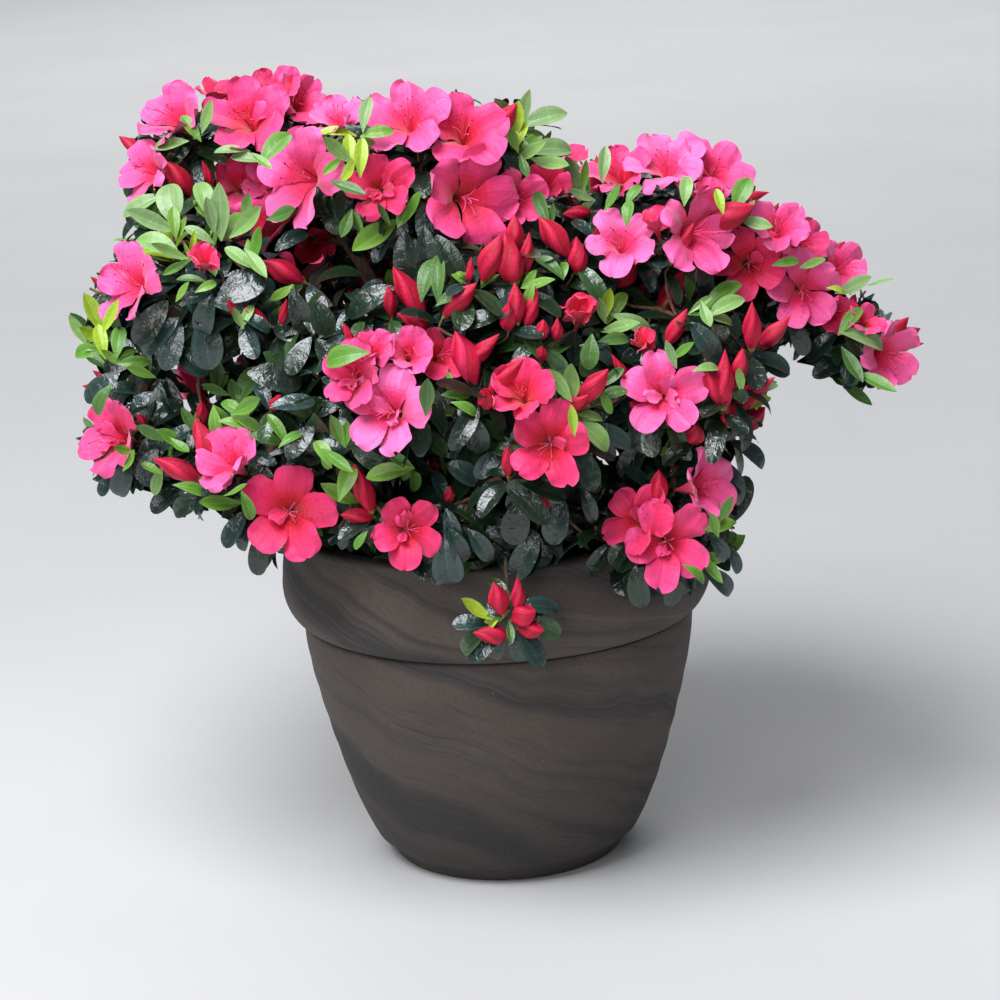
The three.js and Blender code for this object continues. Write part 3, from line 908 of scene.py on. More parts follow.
def seat(pixel):
    """The point of the crown under a pixel of the photograph, or beside it where it misses."""
    way = photo_ray(pixel)
    hit = crown.ray_cast(Vector(EYE), Vector(way))[0]
    if hit is not None:
        return np.array(hit)
    along = [EYE + way * t for t in np.linspace(CROWN_NEAR, CROWN_FAR, SEAT_STEPS)]
    return min(along, key=lambda p: crown.find_nearest(Vector(p))[3])


# What the photograph shows. x and y are the pixel of a feature's middle, right and up the way it
# looks or points, as shares of 1, across and long its size in pixels, and tint its shade. A bloom's
# extra is its number of small inner petals, plump and wide stretch a bud and a leaf.

Bloom = namedtuple("Bloom", "x y across right up kind tint extra", defaults=(0,))
Bud = namedtuple("Bud", "x y long right up plump tint", defaults=(1.0, 1))
Leaf = namedtuple("Leaf", "x y long right up tint wide", defaults=(0, 1.0))

# A bloom's tint is partly its own colour and partly painted light and shade: pinker for blooms in
# the light, deeper red for those in shade.
BLOOMS = [Bloom(*row) for row in (
    (172, 116, 80, -0.5, 0.45, "cupped", 3), (248, 116, 94, -0.12, 0.4, "open", 2, 1),
    (274, 88, 68, 0.0, 0.75, "cupped", 2), (300, 100, 70, 0.5, 0.5, "cupped", 2),
    (146, 172, 74, -0.7, 0.1, "cupped", 3), (216, 92, 46, 0.1, 0.85, "trumpet", 1),
    (240, 184, 72, 0.0, 0.25, "cupped", 2), (268, 182, 62, -0.3, 0.3, "cupped", 3),
    (300, 178, 110, -0.55, 0.0, "open", 3), (336, 118, 60, -0.3, 0.6, "cupped", 4),
    (130, 284, 90, -0.65, 0.15, "cupped", 3), (205, 260, 34, 0.1, 0.5, "half", 1),
    (314, 244, 48, 0.3, -0.3, "trumpet", 0), (406, 118, 94, -0.2, 0.5, "open", 3),
    (464, 130, 96, 0.05, 0.45, "open", 2), (470, 198, 108, 0.45, -0.1, "open", 2),
    (380, 188, 74, -0.05, 0.05, "cupped", 1, 4), (518, 196, 62, 0.2, 0.3, "cupped", 2),
    (546, 184, 50, 0.1, 0.4, "trumpet", 1), (578, 312, 36, 0.05, 0.6, "half", 0, 2),
    (618, 172, 76, -0.25, 0.6, "cupped", 2), (666, 162, 88, -0.1, 0.65, "open", 4),
    (714, 168, 84, 0.2, 0.55, "open", 3, 1), (708, 196, 38, 0.0, 0.85, "half", 2),
    (622, 242, 82, 0.0, 0.4, "open", 4), (696, 232, 94, 0.6, 0.0, "open", 3),
    (656, 222, 34, -0.2, 0.8, "half", 1), (750, 262, 82, 0.1, 0.1, "open", 1, 1),
    (778, 226, 72, 0.1, 0.5, "cupped", 3), (802, 242, 64, 0.35, 0.35, "cupped", 2),
    (804, 290, 86, 0.15, -0.1, "open", 3), (842, 266, 64, 0.4, 0.35, "cupped", 3),
    (834, 312, 48, 0.3, -0.3, "trumpet", 1), (866, 320, 46, 0.4, 0.5, "cupped", 2),
    (888, 354, 78, 0.55, -0.15, "cupped", 3), (664, 394, 88, -0.05, 0.1, "open", 3, 4),
    (112, 436, 84, -0.6, 0.15, "cupped", 2, 3), (228, 460, 74, -0.45, 0.4, "trumpet", 3),
    (288, 512, 100, -0.05, -0.05, "open", 1, 1), (352, 376, 72, -0.35, 0.15, "cupped", 2, 2),
    (372, 350, 52, -0.1, 0.6, "trumpet", 2), (388, 410, 94, -0.35, 0.15, "open", 4, 2),
    (410, 352, 52, 0.1, 0.3, "trumpet", 3), (440, 354, 60, 0.3, 0.3, "cupped", 1),
    (520, 392, 70, -0.2, 0.35, "cupped", 1), (550, 444, 88, 0.0, -0.05, "open", 1, 1),
    (434, 458, 36, 0.05, 0.3, "half", 3, 5), (408, 530, 78, 0.15, -0.05, "open", 1, 3),
    (706, 486, 80, 0.75, 0.1, "trumpet", 3), (638, 520, 78, -0.3, 0.15, "open", 1, 2),
    (668, 542, 94, 0.1, -0.1, "open", 2, 1), (644, 342, 30, 0.0, 0.7, "half", 0),
)]

# A bud's tint is partly its own colour and partly painted shade: the deeper red tint 0 goes to buds
# that lie in shade.
BUDS = [Bud(*row) for row in (
    (200, 370, 34, -0.1, 0.9), (193, 392, 52, -0.55, 0.8, 1.2), (202, 412, 32, 0.0, 0.6, 1.3),
    (206, 446, 54, -0.4, 0.9), (177, 469, 50, -0.9, 0.35, 1.2), (179, 178, 46, -0.6, 0.75, 1.2, 0),
    (207, 173, 28, -0.3, 0.8), (284, 271, 48, -0.85, 0.45, 1.1), (307, 277, 32, 0.2, 0.7),
    (252, 315, 42, -0.8, 0.5, 1.0, 0), (284, 312, 30, 0.2, 0.8, 1.0, 0),
    (322, 244, 38, 0.4, 0.7, 1.0, 0), (330, 272, 26, 0.1, 0.8, 1.0, 0), (410, 294, 60, -0.5, 0.85),
    (414, 320, 38, -0.8, 0.3, 1.5), (458, 300, 46, 0.65, 0.75), (348, 335, 26, -0.4, 0.8),
    (390, 302, 34, -0.1, 0.9, 1.0, 0), (470, 270, 26, 0.1, 0.9), (490, 259, 50, 0.3, 0.9, 1.1),
    (508, 259, 50, -0.3, 0.93, 1.6), (515, 234, 36, 0.0, 0.97, 1.3), (527, 253, 40, 0.1, 0.97, 1.1),
    (556, 238, 50, -0.6, 0.75, 1.1), (578, 256, 36, 0.0, 0.9, 1.6), (577, 213, 32, -0.9, -0.1, 1.2),
    (596, 175, 38, 0.0, 0.95, 1.1), (502, 123, 46, 0.6, 0.75), (507, 316, 32, -0.1, 0.8, 1.6),
    (516, 304, 40, -0.1, 0.95, 1.1), (532, 307, 40, 0.25, 0.93, 1.1), (543, 331, 24, 0.2, 0.8, 1.3),
    (557, 330, 24, 0.0, 0.8, 1.4), (542, 354, 20, 0.0, 0.7, 1.5, 0),
    (634, 296, 48, 0.65, 0.72, 1.2), (624, 276, 32, 0.5, 0.7, 1.5), (674, 288, 60, 0.42, 0.9, 1.15),
    (676, 328, 42, 0.45, 0.87), (682, 244, 46, 0.5, 0.83, 1.1), (728, 215, 52, 0.86, 0.45, 1.2),
    (752, 326, 48, 0.0, 0.97, 1.1), (773, 334, 46, 0.67, 0.72), (724, 380, 58, 0.0, 0.97, 1.1),
    (740, 368, 38, 0.2, 0.95), (754, 392, 50, 0.8, 0.56, 1.05), (713, 386, 46, -0.42, 0.85),
    (728, 413, 34, -0.1, 0.7, 1.6), (751, 419, 40, 0.65, 0.7, 1.4), (696, 434, 27, 0.1, 0.5, 2.0),
    (638, 408, 28, -0.6, 0.4, 1.3, 0), (620, 369, 34, -0.5, 0.8), (590, 389, 50, 0.55, 0.8),
    (574, 403, 34, 0.6, 0.5, 1.5), (505, 376, 46, 0.7, 0.7), (486, 398, 30, -0.2, 0.5, 1.9),
    (468, 360, 58, -0.25, 0.95, 1.1, 2), (484, 349, 42, 0.7, 0.7, 1.1),
    (508, 462, 32, 0.0, 0.9, 1.1, 0), (449, 494, 24, 0.1, 0.6, 1.3, 0), (545, 504, 24, 0.1, -0.8),
    (363, 488, 52, -0.35, 0.93, 1.1), (358, 516, 34, -0.95, 0.05, 1.2),
    (380, 532, 30, -0.6, -0.3, 1.5), (659, 489, 36, 0.0, 0.97, 1.2),
    (275, 402, 28, 0.3, 0.5, 1.2, 0), (142, 420, 20, -0.4, 0.5, 1.2, 0), (598, 230, 20, 0.2, 0.8),
    (852, 306, 26, 0.3, 0.8), (232, 308, 26, -0.4, 0.6, 1.0, 0),
)]

SPRIG_BUDS = [Bud(*row) for row in (
    (498, 599, 35, -0.3, 0.9, 1.5), (518, 594, 34, -0.02, 0.97, 1.3),
    (524, 616, 30, 0.85, 0.3, 1.9), (490, 635, 35, -0.95, 0.02, 1.6),
    (531, 629, 28, 0.9, -0.05, 1.7),
)]

# New leaves, a few of them yellow, and leaves as pale underneath as on top.
FRESH = [Leaf(*row) for row in (
    (141, 203, 46, -0.95, -0.35, 3), (170, 143, 36, -0.95, -0.1, 2), (191, 127, 34, -0.55, 0.8),
    (208, 116, 36, 0.35, 0.93, 2), (232, 149, 36, -0.95, 0.1, 3, 0.8),
    (246, 157, 34, -0.75, 0.2, 3), (249, 137, 44, -0.45, 0.9, 4), (273, 145, 46, 0.55, 0.8),
    (262, 163, 28, 0.6, -0.6, 1), (170, 203, 50, -0.25, 0.95, 3, 1.3), (150, 223, 52, -0.9, 0.3, 3),
    (160, 242, 54, -0.75, 0.6, 2), (166, 255, 46, -0.9, 0.15, 2, 0.8),
    (174, 222, 32, -0.1, 0.95, 1), (205, 197, 44, -0.2, 0.95, 2),
    (222, 211, 56, 0.02, 0.99, 3, 1.2), (208, 215, 38, -0.3, 0.9, 3), (250, 223, 48, 0.75, 0.55, 2),
    (250, 207, 34, 0.35, 0.9, 2), (200, 234, 32, -0.6, 0.4, 3), (192, 244, 32, 0.1, 0.95, 4, 0.6),
    (262, 246, 40, 0.5, 0.8), (256, 266, 42, 0.5, -0.75, 2), (240, 257, 36, -0.6, 0.5, 2),
    (286, 217, 38, 0.9, 0.1, 5), (346, 227, 36, -0.3, -0.95, 5), (191, 278, 28, -0.9, 0.2, 5),
    (206, 286, 24, 0.7, 0.4, 1), (184, 292, 24, 0.6, 0.7, 1), (235, 318, 26, -0.5, 0.6, 2),
    (246, 316, 26, 0.3, 0.8, 2), (282, 297, 32, -0.6, -0.7, 1), (296, 288, 26, 0.3, 0.6, 5),
    (334, 151, 42, -0.8, 0.5, 2), (338, 131, 36, -0.9, 0.2, 4), (350, 152, 38, -0.1, 0.95, 4),
    (361, 157, 38, 0.05, 0.97, 4), (352, 172, 32, 0.7, 0.6, 4), (333, 168, 28, -0.5, -0.6, 1),
    (348, 190, 38, 0.6, -0.3, 5), (365, 113, 36, 0.1, 0.97, 3), (376, 132, 32, 0.8, 0.2, 1),
    (375, 239, 58, -0.75, -0.65, 1, 1.1), (417, 213, 44, 0.8, 0.6, 0),
    (382, 212, 30, -0.5, 0.8, 5, 0.6), (92, 313, 46, -0.5, 0.85, 4), (112, 316, 36, 0.45, 0.85, 4),
    (78, 330, 36, -0.5, 0.8, 2), (90, 336, 36, -0.7, 0.3, 4), (101, 341, 36, -0.2, 0.9, 4),
    (118, 340, 38, 0.1, 0.97), (87, 350, 38, -0.9, 0.1), (110, 359, 28, -0.4, 0.2, 1),
    (134, 362, 32, 0.9, 0.1), (140, 374, 32, -0.85, 0.2, 1), (148, 356, 34, -0.1, 0.9, 5, 0.6),
    (100, 398, 36, -0.6, -0.7, 5), (246, 382, 48, 0.35, 0.93, 5, 1.2), (252, 407, 44, 0.9, 0.3),
    (235, 408, 34, -0.5, 0.6), (219, 374, 34, 0.1, 0.95, 5), (214, 391, 30, -0.7, 0.2, 5),
    (215, 423, 34, 0.1, -0.95, 1), (235, 421, 34, 0.8, 0.0, 1), (170, 440, 34, -0.8, 0.4, 0, 1.3),
    (179, 449, 28, 0.5, -0.6), (188, 420, 30, -0.4, 0.6, 5), (150, 434, 32, -0.7, 0.3, 5),
    (122, 452, 28, -0.9, 0.1), (133, 461, 28, 0.6, 0.6, 1), (157, 481, 32, -0.3, -0.9, 2),
    (152, 468, 24, -0.6, 0.4, 1), (192, 487, 36, 0.9, -0.1), (218, 506, 46, -0.9, -0.1),
    (248, 506, 32, 0.4, -0.85), (240, 494, 32, 0.9, 0.1, 1, 0.6), (264, 437, 32, 0.9, -0.1, 5),
    (279, 429, 36, -0.45, 0.85), (290, 438, 28, 0.7, 0.6), (344, 354, 46, -0.95, -0.05, 0),
    (334, 430, 38, -0.5, 0.8), (352, 436, 36, 0.8, -0.3, 5), (325, 452, 32, -0.3, 0.8, 1),
    (338, 462, 38, 0.6, -0.5), (346, 480, 42, 0.3, 0.9, 1), (338, 493, 46, -0.85, 0.45, 1),
    (390, 471, 46, -0.95, -0.1, 1), (416, 478, 32, 0.2, -0.95), (360, 540, 22, -0.6, -0.7),
    (428, 393, 42, 0.1, 0.95, 5), (430, 416, 36, 0.1, 0.9, 5, 1.3), (448, 382, 26, -0.3, 0.9),
    (456, 393, 28, 0.8, 0.1), (466, 406, 28, 0.8, -0.2), (590, 352, 34, -0.1, -0.9, 5, 1.5),
    (559, 385, 38, -0.6, 0.8, 2), (577, 381, 46, 0.25, 0.95, 2), (594, 430, 46, 0.85, -0.4, 2, 1.2),
    (571, 420, 30, -0.2, 0.9, 4), (612, 377, 28, 0.6, 0.6, 5), (606, 402, 26, 0.3, -0.8),
    (611, 393, 32, 0.8, 0.4, 5), (671, 353, 30, -0.3, 0.8, 3), (684, 351, 28, 0.8, 0.5),
    (707, 366, 28, 0.8, 0.3, 2), (744, 379, 28, 0.2, 0.9, 2), (765, 388, 26, 0.8, 0.5, 3),
    (760, 402, 24, 0.7, 0.5, 4), (741, 193, 36, 0.35, 0.9, 0, 1.4), (720, 201, 26, -0.2, 0.8, 4),
    (756, 226, 40, 0.85, -0.4, 3), (748, 211, 26, 0.6, 0.7, 2), (786, 262, 28, 0.8, 0.2),
    (788, 280, 36, 0.2, -0.95), (814, 266, 28, 0.9, 0.1, 0, 1.4), (838, 288, 22, 0.8, 0.0, 4),
    (856, 289, 42, 0.95, 0.2, 3), (882, 284, 28, 0.95, 0.1, 2, 0.6),
    (830, 313, 46, -0.5, 0.85, 2, 0.7), (849, 319, 38, 0.5, 0.8), (866, 335, 52, 0.97, -0.1, 3),
    (851, 366, 42, 0.4, -0.8, 5), (876, 385, 46, 0.8, -0.55), (856, 396, 50, 0.7, -0.7, 5, 0.6),
    (720, 292, 48, 0.6, 0.75), (725, 305, 42, 0.75, 0.5, 2), (705, 317, 32, 0.2, -0.8, 2),
    (692, 281, 46, 0.15, 0.97, 5, 0.6), (700, 304, 30, 0.7, 0.6, 2, 0.6), (614, 198, 30, 0.5, 0.7),
    (632, 193, 26, 0.4, 0.8), (627, 212, 28, 0.0, 0.95), (686, 189, 32, 0.1, 0.95, 2),
    (606, 302, 36, 0.1, 0.95, 4), (616, 306, 38, 0.4, 0.85, 1), (599, 309, 30, -0.4, 0.85, 2),
    (635, 322, 48, 0.9, -0.3, 3), (622, 329, 42, 0.9, 0.1, 2), (614, 338, 36, 0.9, 0.3, 5),
    (540, 286, 36, 0.95, 0.1, 1), (529, 294, 24, -0.3, -0.6, 1), (552, 264, 36, -0.5, 0.7, 5),
    (541, 206, 46, -0.35, 0.93, 5, 0.7), (573, 180, 52, -0.4, 0.9, 3, 1.2),
    (583, 174, 38, 0.0, 0.97, 1, 0.6), (578, 198, 34, -0.9, 0.1, 3), (604, 164, 36, 0.1, 0.97, 3),
    (526, 109, 44, 0.35, 0.93, 3), (505, 105, 32, -0.5, 0.8, 3), (516, 119, 38, 0.05, 0.97, 4),
    (520, 133, 30, 0.2, 0.9, 4), (542, 117, 50, 0.9, 0.4, 3), (512, 137, 32, -0.3, 0.7, 1),
    (548, 146, 54, 0.95, 0.2, 3), (533, 152, 38, 0.8, 0.4, 2), (551, 168, 46, 0.85, -0.4, 2),
    (524, 169, 28, 0.2, -0.8, 5), (425, 277, 46, 0.15, 0.97, 5),
    (437, 277, 52, -0.05, 0.98, 5, 0.7), (450, 296, 32, 0.7, 0.5, 5), (712, 570, 34, 0.5, -0.7),
    (697, 572, 30, 0.8, -0.4), (728, 508, 30, 0.5, 0.8, 5), (722, 530, 44, 0.95, -0.1, 0),
    (712, 524, 30, -0.3, 0.6, 1),
)]

SPRIG_FRESH = [Leaf(*row) for row in (
    (473, 612, 40, -0.93, 0.35, 4, 1.05), (491, 622, 26, -0.75, -0.6, 4, 1.1),
    (501, 615, 20, -0.8, -0.4, 1), (510, 633, 24, 0.1, -0.95, 5),
)]

# Older leaves that show whole.
DARK = [Leaf(*row) for row in (
    (150, 366, 46, -0.6, -0.7, 1), (166, 378, 44, 0.5, -0.8, 2), (146, 390, 42, -0.8, -0.4, 3),
    (172, 397, 42, 0.3, -0.9, 0), (136, 380, 38, -0.3, -0.9, 1), (158, 404, 40, -0.1, -0.95, 2),
    (203, 316, 46, -0.35, -0.9, 2, 1.1), (150, 322, 52, -0.6, -0.75, 1),
    (156, 336, 54, -0.75, -0.6, 4), (172, 346, 48, -0.35, -0.9, 4),
    (207, 343, 52, 0.1, -0.97, 4, 1.2), (251, 339, 64, 0.8, -0.55, 1, 0.9),
    (190, 360, 42, 0.7, -0.5, 2), (100, 386, 46, -0.75, -0.5, 4, 1.1), (124, 386, 36, 0.9, 0.2, 2),
    (118, 398, 30, -0.5, -0.7, 2), (148, 403, 38, -0.85, -0.2, 4, 1.3),
    (174, 410, 34, 0.6, -0.6, 2), (177, 386, 32, -0.7, 0.3, 4), (108, 449, 34, -0.95, 0.1, 1),
    (121, 479, 46, -0.4, -0.9, 4), (105, 484, 26, -0.5, -0.8, 4), (148, 462, 34, -0.5, -0.7, 2),
    (166, 496, 42, -0.7, -0.6, 2), (188, 502, 48, -0.9, -0.3, 1), (234, 528, 42, -0.6, -0.8, 4),
    (242, 535, 32, -0.3, -0.6, 2), (258, 555, 46, -0.1, -0.97, 1, 1.1),
    (292, 402, 42, 0.85, 0.2, 4), (275, 376, 52, 0.9, -0.1, 0, 1.2), (320, 368, 24, 0.5, -0.7, 4),
    (322, 318, 34, 0.3, -0.8, 1, 1.4), (300, 314, 50, 0.3, -0.9, 0), (300, 440, 40, -0.6, -0.6, 1),
    (302, 470, 42, -0.5, -0.7, 2), (240, 371, 30, 0.7, -0.3, 2), (340, 530, 38, -0.9, -0.3, 4),
    (349, 557, 50, -0.65, -0.75, 4), (447, 567, 48, 0.1, -0.97, 4, 1.3),
    (460, 548, 42, 0.5, -0.85, 2), (482, 546, 38, 0.6, -0.75, 2, 1.2),
    (452, 528, 38, 0.3, -0.95, 2), (464, 471, 36, 0.9, -0.35, 4, 1.4),
    (489, 489, 30, 0.85, 0.2, 2, 1.2), (480, 437, 40, 0.3, -0.9, 1),
    (512, 501, 28, -0.2, -0.9, 2, 1.2), (516, 523, 46, -0.2, -0.97, 1, 1.2),
    (524, 557, 52, -0.5, -0.8, 2, 1.2), (556, 521, 46, -0.3, -0.95, 4, 1.2),
    (545, 489, 44, 0.85, -0.2, 1), (585, 466, 48, 0.5, -0.8, 1, 1.2), (590, 506, 36, 0.4, -0.85, 2),
    (597, 560, 42, -0.6, -0.75, 1), (612, 434, 42, 0.8, -0.4, 4), (600, 446, 46, 0.9, -0.25, 1),
    (632, 458, 48, -0.5, -0.7, 1, 1.2), (636, 432, 32, 0.4, -0.8, 4),
    (638, 590, 46, 0.1, -0.97, 1, 1.1), (675, 589, 42, 0.0, -1.0, 1, 1.1),
    (732, 478, 58, 0.75, -0.6, 1), (752, 449, 48, 0.92, -0.3, 4), (700, 457, 50, 0.95, 0.0, 0),
    (690, 476, 42, 0.6, -0.7, 0), (722, 548, 36, 0.6, -0.7, 4), (722, 580, 42, 0.85, -0.5, 4),
    (736, 560, 32, 0.5, -0.85, 2), (706, 341, 44, 0.6, -0.75, 4), (760, 302, 34, 0.8, -0.3, 1),
    (772, 362, 42, 0.85, -0.35, 2), (352, 266, 50, -0.3, -0.95, 1), (382, 272, 52, -0.5, -0.85, 0),
    (368, 298, 54, -0.85, -0.35, 1), (405, 258, 52, 0.0, -1.0, 0, 1.1),
    (427, 254, 52, 0.1, -0.97, 0), (450, 257, 48, 0.5, -0.85, 1), (290, 238, 38, 0.7, 0.6, 4),
    (325, 252, 42, 0.7, 0.6, 4), (341, 268, 46, 0.3, 0.9, 4), (240, 287, 52, 0.7, 0.4, 0, 1.2),
    (257, 282, 38, 0.95, -0.1, 4), (226, 303, 34, 0.9, -0.1, 4), (516, 208, 38, 0.7, -0.6, 4),
    (480, 318, 42, -0.9, -0.1, 1), (448, 326, 40, 0.8, 0.3, 1), (600, 350, 40, 0.9, -0.2, 4),
    (820, 345, 44, -0.7, -0.5, 2), (800, 338, 42, 0.3, -0.8, 0),
)]

SPRIG_DARK = [Leaf(*row) for row in (
    (541, 604, 42, 1.0, 0.1, 4), (545, 627, 36, 0.85, -0.35, 5, 1.15),
    (532, 648, 44, 0.6, -0.75, 4, 1.1), (470, 640, 38, -0.85, -0.45, 5, 1.2),
    (483, 648, 36, -0.8, -0.5, 2), (472, 622, 36, -1.0, 0.1, 4), (502, 589, 34, -0.4, 0.85, 5),
    (488, 609, 30, -0.8, 0.4, 2), (516, 646, 32, 0.15, -0.95, 2), (532, 612, 34, 0.9, 0.5, 1),
    (497, 650, 30, -0.4, -0.85, 1),
)]

# The crown's outline, in pixels of the photograph. Below RIM_IN_PHOTO and between its ends the pot
# hides what hangs behind it.
OUTLINE = [
    (66, 325), (84, 296), (103, 270), (122, 232), (112, 180), (122, 150), (143, 105), (180, 88),
    (250, 72), (300, 74), (316, 100), (345, 94), (385, 82), (430, 80), (470, 92), (525, 88),
    (562, 103), (572, 140), (564, 160), (580, 155), (605, 135), (640, 150), (660, 137), (690, 137),
    (735, 158), (762, 205), (798, 218), (835, 242), (862, 252), (874, 290), (892, 320), (912, 370),
    (895, 395), (868, 385), (850, 400), (820, 372), (785, 380), (770, 388), (776, 440), (752, 474),
    (742, 500), (738, 552), (735, 592), (700, 575), (690, 607), (660, 600), (640, 612), (620, 600),
    (612, 572), (560, 556), (520, 582), (490, 556), (458, 590), (430, 584), (425, 570), (400, 577),
    (372, 556), (345, 577), (335, 560), (300, 556), (285, 572), (258, 577), (246, 548), (205, 516),
    (160, 512), (150, 492), (120, 498), (84, 482), (74, 440), (88, 400), (78, 350),
]
RIM_IN_PHOTO, RIM_LEFT, RIM_RIGHT = 556, 290, 686


def beyond_outline(points):
    """Which points the camera would see outside the crown of the photograph."""
    x, y = to_photo(points)[0].T
    inside = np.zeros(len(points), bool)
    for (x0, y0), (x1, y1) in zip(OUTLINE, OUTLINE[1:] + OUTLINE[:1]):
        if y0 != y1:
            spans = (y0 > y) != (y1 > y)
            inside ^= spans & (x < x0 + (x1 - x0) * (y - y0) / (y1 - y0))
    hidden = (y > RIM_IN_PHOTO) & (x > RIM_LEFT) & (x < RIM_RIGHT) & (points[:, 1] > 0)
    return ~inside & ~hidden


# Where things may be: in the CAD's box and a little past it, off the ground and out of the pot.

BOX_MARGIN = 20 * MM
GROUND_CLEARANCE = 4 * MM
box_low, box_high = np.array(cad_low) - BOX_MARGIN, np.array(cad_high) + BOX_MARGIN
box_low[2] = GROUND_CLEARANCE

POT_HEIGHT = 215 * MM
POT_CLEARANCE = 1.5 * MM
WELL_RADIUS, WELL_FLOOR = 111 * MM, 192 * MM
# Height and outer radius, up the pot.
POT_OUTSIDE = np.array([
    (0, 75), (8, 78), (44.5, 95), (81, 106), (117.5, 115), (153, 119.5), (165, 127.5),
    (178, 131.5), (215, 127),
]) * MM


def in_pot(points):
    """Which points are inside the pot's wall or its lip."""
    r = np.linalg.norm(points[..., :2], axis=-1)
    z = points[..., 2]
    well = (r < WELL_RADIUS) & (z > WELL_FLOOR)
    wall = np.interp(z, *POT_OUTSIDE.T) + POT_CLEARANCE
    return (z < POT_HEIGHT + POT_CLEARANCE) & (r < wall) & ~well


def allowed(points):
    """Which rows of points, each row a thing's own points, are where things may be."""
    inside = np.all((points > box_low) & (points < box_high), axis=-1)
    return np.all(inside & ~in_pot(points), axis=-1)


# Shoots: each has a tip, an axis, and what grows on it.

GOLDEN = math.radians(137.5)
SURFACE_SAMPLES = 16000
TIP_SPACING = 23 * MM
TIP_DEPTH, TIP_STRAY = 11 * MM, 3 * MM
# How much of a shoot's axis follows the surface, the way out of the crown, and the light.
ALONG_NORMAL, ALONG_OUTWARD, ALONG_UP, AXIS_STRAY = 0.55, 0.35, 0.35, 0.22
EDGE_ON, HIDDEN_BY = 0.02, 20 * MM


def distance_seen(point):
    """How far the eye sees towards a point, or None for past the crown."""
    return crown.ray_cast(Vector(EYE), Vector(unit(point - EYE)))[3]


def seen_by_camera(points, normals):
    """Which points of the crown's surface the camera sees."""
    seen = np.sum(normals * unit(EYE - points), -1) > EDGE_ON
    for i in np.flatnonzero(seen):
        hit = distance_seen(points[i])
        seen[i] = hit is None or abs(hit - np.linalg.norm(points[i] - EYE)) < HIDDEN_BY
    return seen


def in_view(point):
    """Whether nothing of the crown stands between the camera and a point."""
    hit = distance_seen(point)
    return hit is None or hit > np.linalg.norm(point - EYE)


def random_shoots():
    points, normals, owners = surface_samples(SURFACE_SAMPLES)
    keep = spread_out(points, TIP_SPACING)
    points, normals, owners = points[keep], normals[keep], owners[keep]
    seen = seen_by_camera(points, normals)
    tips = points - normals * TIP_DEPTH + rng.normal(0, TIP_STRAY, points.shape)
    axes = ALONG_NORMAL * normals + ALONG_OUTWARD * unit(points - CROWN_CENTRE)
    axes = unit(axes + ALONG_UP * WORLD_UP + rng.normal(0, AXIS_STRAY, points.shape))
    return tips, axes, owners, seen


# Of a leaf: where its foot is and which way it grows, which way its upper side looks, its length,
# its tint, how finely it is made, whether the photograph shows it, and its width as a share.
GrownLeaf = namedtuple("GrownLeaf", "place way upper length tint detail guard wide")


class Growth:
    """All that grows on the shoots, gathered by kind."""

    def __init__(self):
        self.leaves = {"dark": [], "fresh": []}
        self.blooms, self.buds, self.tips, self.guards = [], [], [], []

    def leaf(self, kind, place, way, upper, length, tint, detail, guard=False, wide=1.0):
        self.leaves[kind].append(GrownLeaf(place, way, upper, length, tint, detail, guard, wide))


def off_crown(points):
    """How far points stand off the masses' surface; those inside are negative."""
    off = np.empty(len(points))
    for i, p in enumerate(points):
        hit, normal, _, gap = crown.find_nearest(Vector(p))
        off[i] = gap if (Vector(p) - hit).dot(normal) > 0 else -gap
    return off


def ring_ways(axis, count, spread, start):
    """Directions round an axis, at angles of spread from it, by the golden angle."""
    side, across = square_to(axis, ASIDE_OF_SHOOTS)
    turn = start + GOLDEN * np.arange(count)
    out = np.cos(turn)[:, None] * side + np.sin(turn)[:, None] * across
    spread = np.broadcast_to(spread, count)
    return np.cos(spread)[:, None] * axis + np.sin(spread)[:, None] * out, out


SPREAD_STRAY = 7
YOUNG_SHORTER, YOUNG_POWER = 0.32, 1.5
LENGTH_STRAY = (0.82, 1.1)
WHORL_DEPTH, TWIG_RADIUS = 0.3, 1.2 * MM
UPPER_TO_LIGHT, UPPER_STRAY = 0.35, 0.18
LAST_TINT = 5


def whorl(growth, tip, axis, kind, count, length, spread, tint, detail, guard=False, droop=0.0):
    """A whorl of leaves round a shoot's tip, the younger and steeper ones last. spread is the angle
    of the oldest and the youngest from the axis, in degrees."""
    share = np.linspace(0, 1, count)
    angle = spread[0] + (spread[1] - spread[0]) * share + rng.normal(0, SPREAD_STRAY, count)
    ways, outs = ring_ways(axis, count, np.radians(angle), rng.uniform(0, FULL_TURN))
    ways = unit(ways - droop * WORLD_UP * rng.uniform(*DROOP_SHARES, (count, 1)))
    younger = 1 - YOUNG_SHORTER * share**YOUNG_POWER
    lengths = length * younger * rng.uniform(*LENGTH_STRAY, count)
    places = tip - axis * WHORL_DEPTH * length * (1 - share)[:, None] + outs * TWIG_RADIUS
    for i in range(count):
        shade = tint
        if kind == "dark":
            shade = int(np.clip(tint + rng.choice([-1, 0, 0, 1]), 0, LAST_TINT))
        upper = axis + UPPER_TO_LIGHT * WORLD_UP + rng.normal(0, UPPER_STRAY, 3)
        growth.leaf(kind, places[i], ways[i], upper, lengths[i], shade, detail, guard)


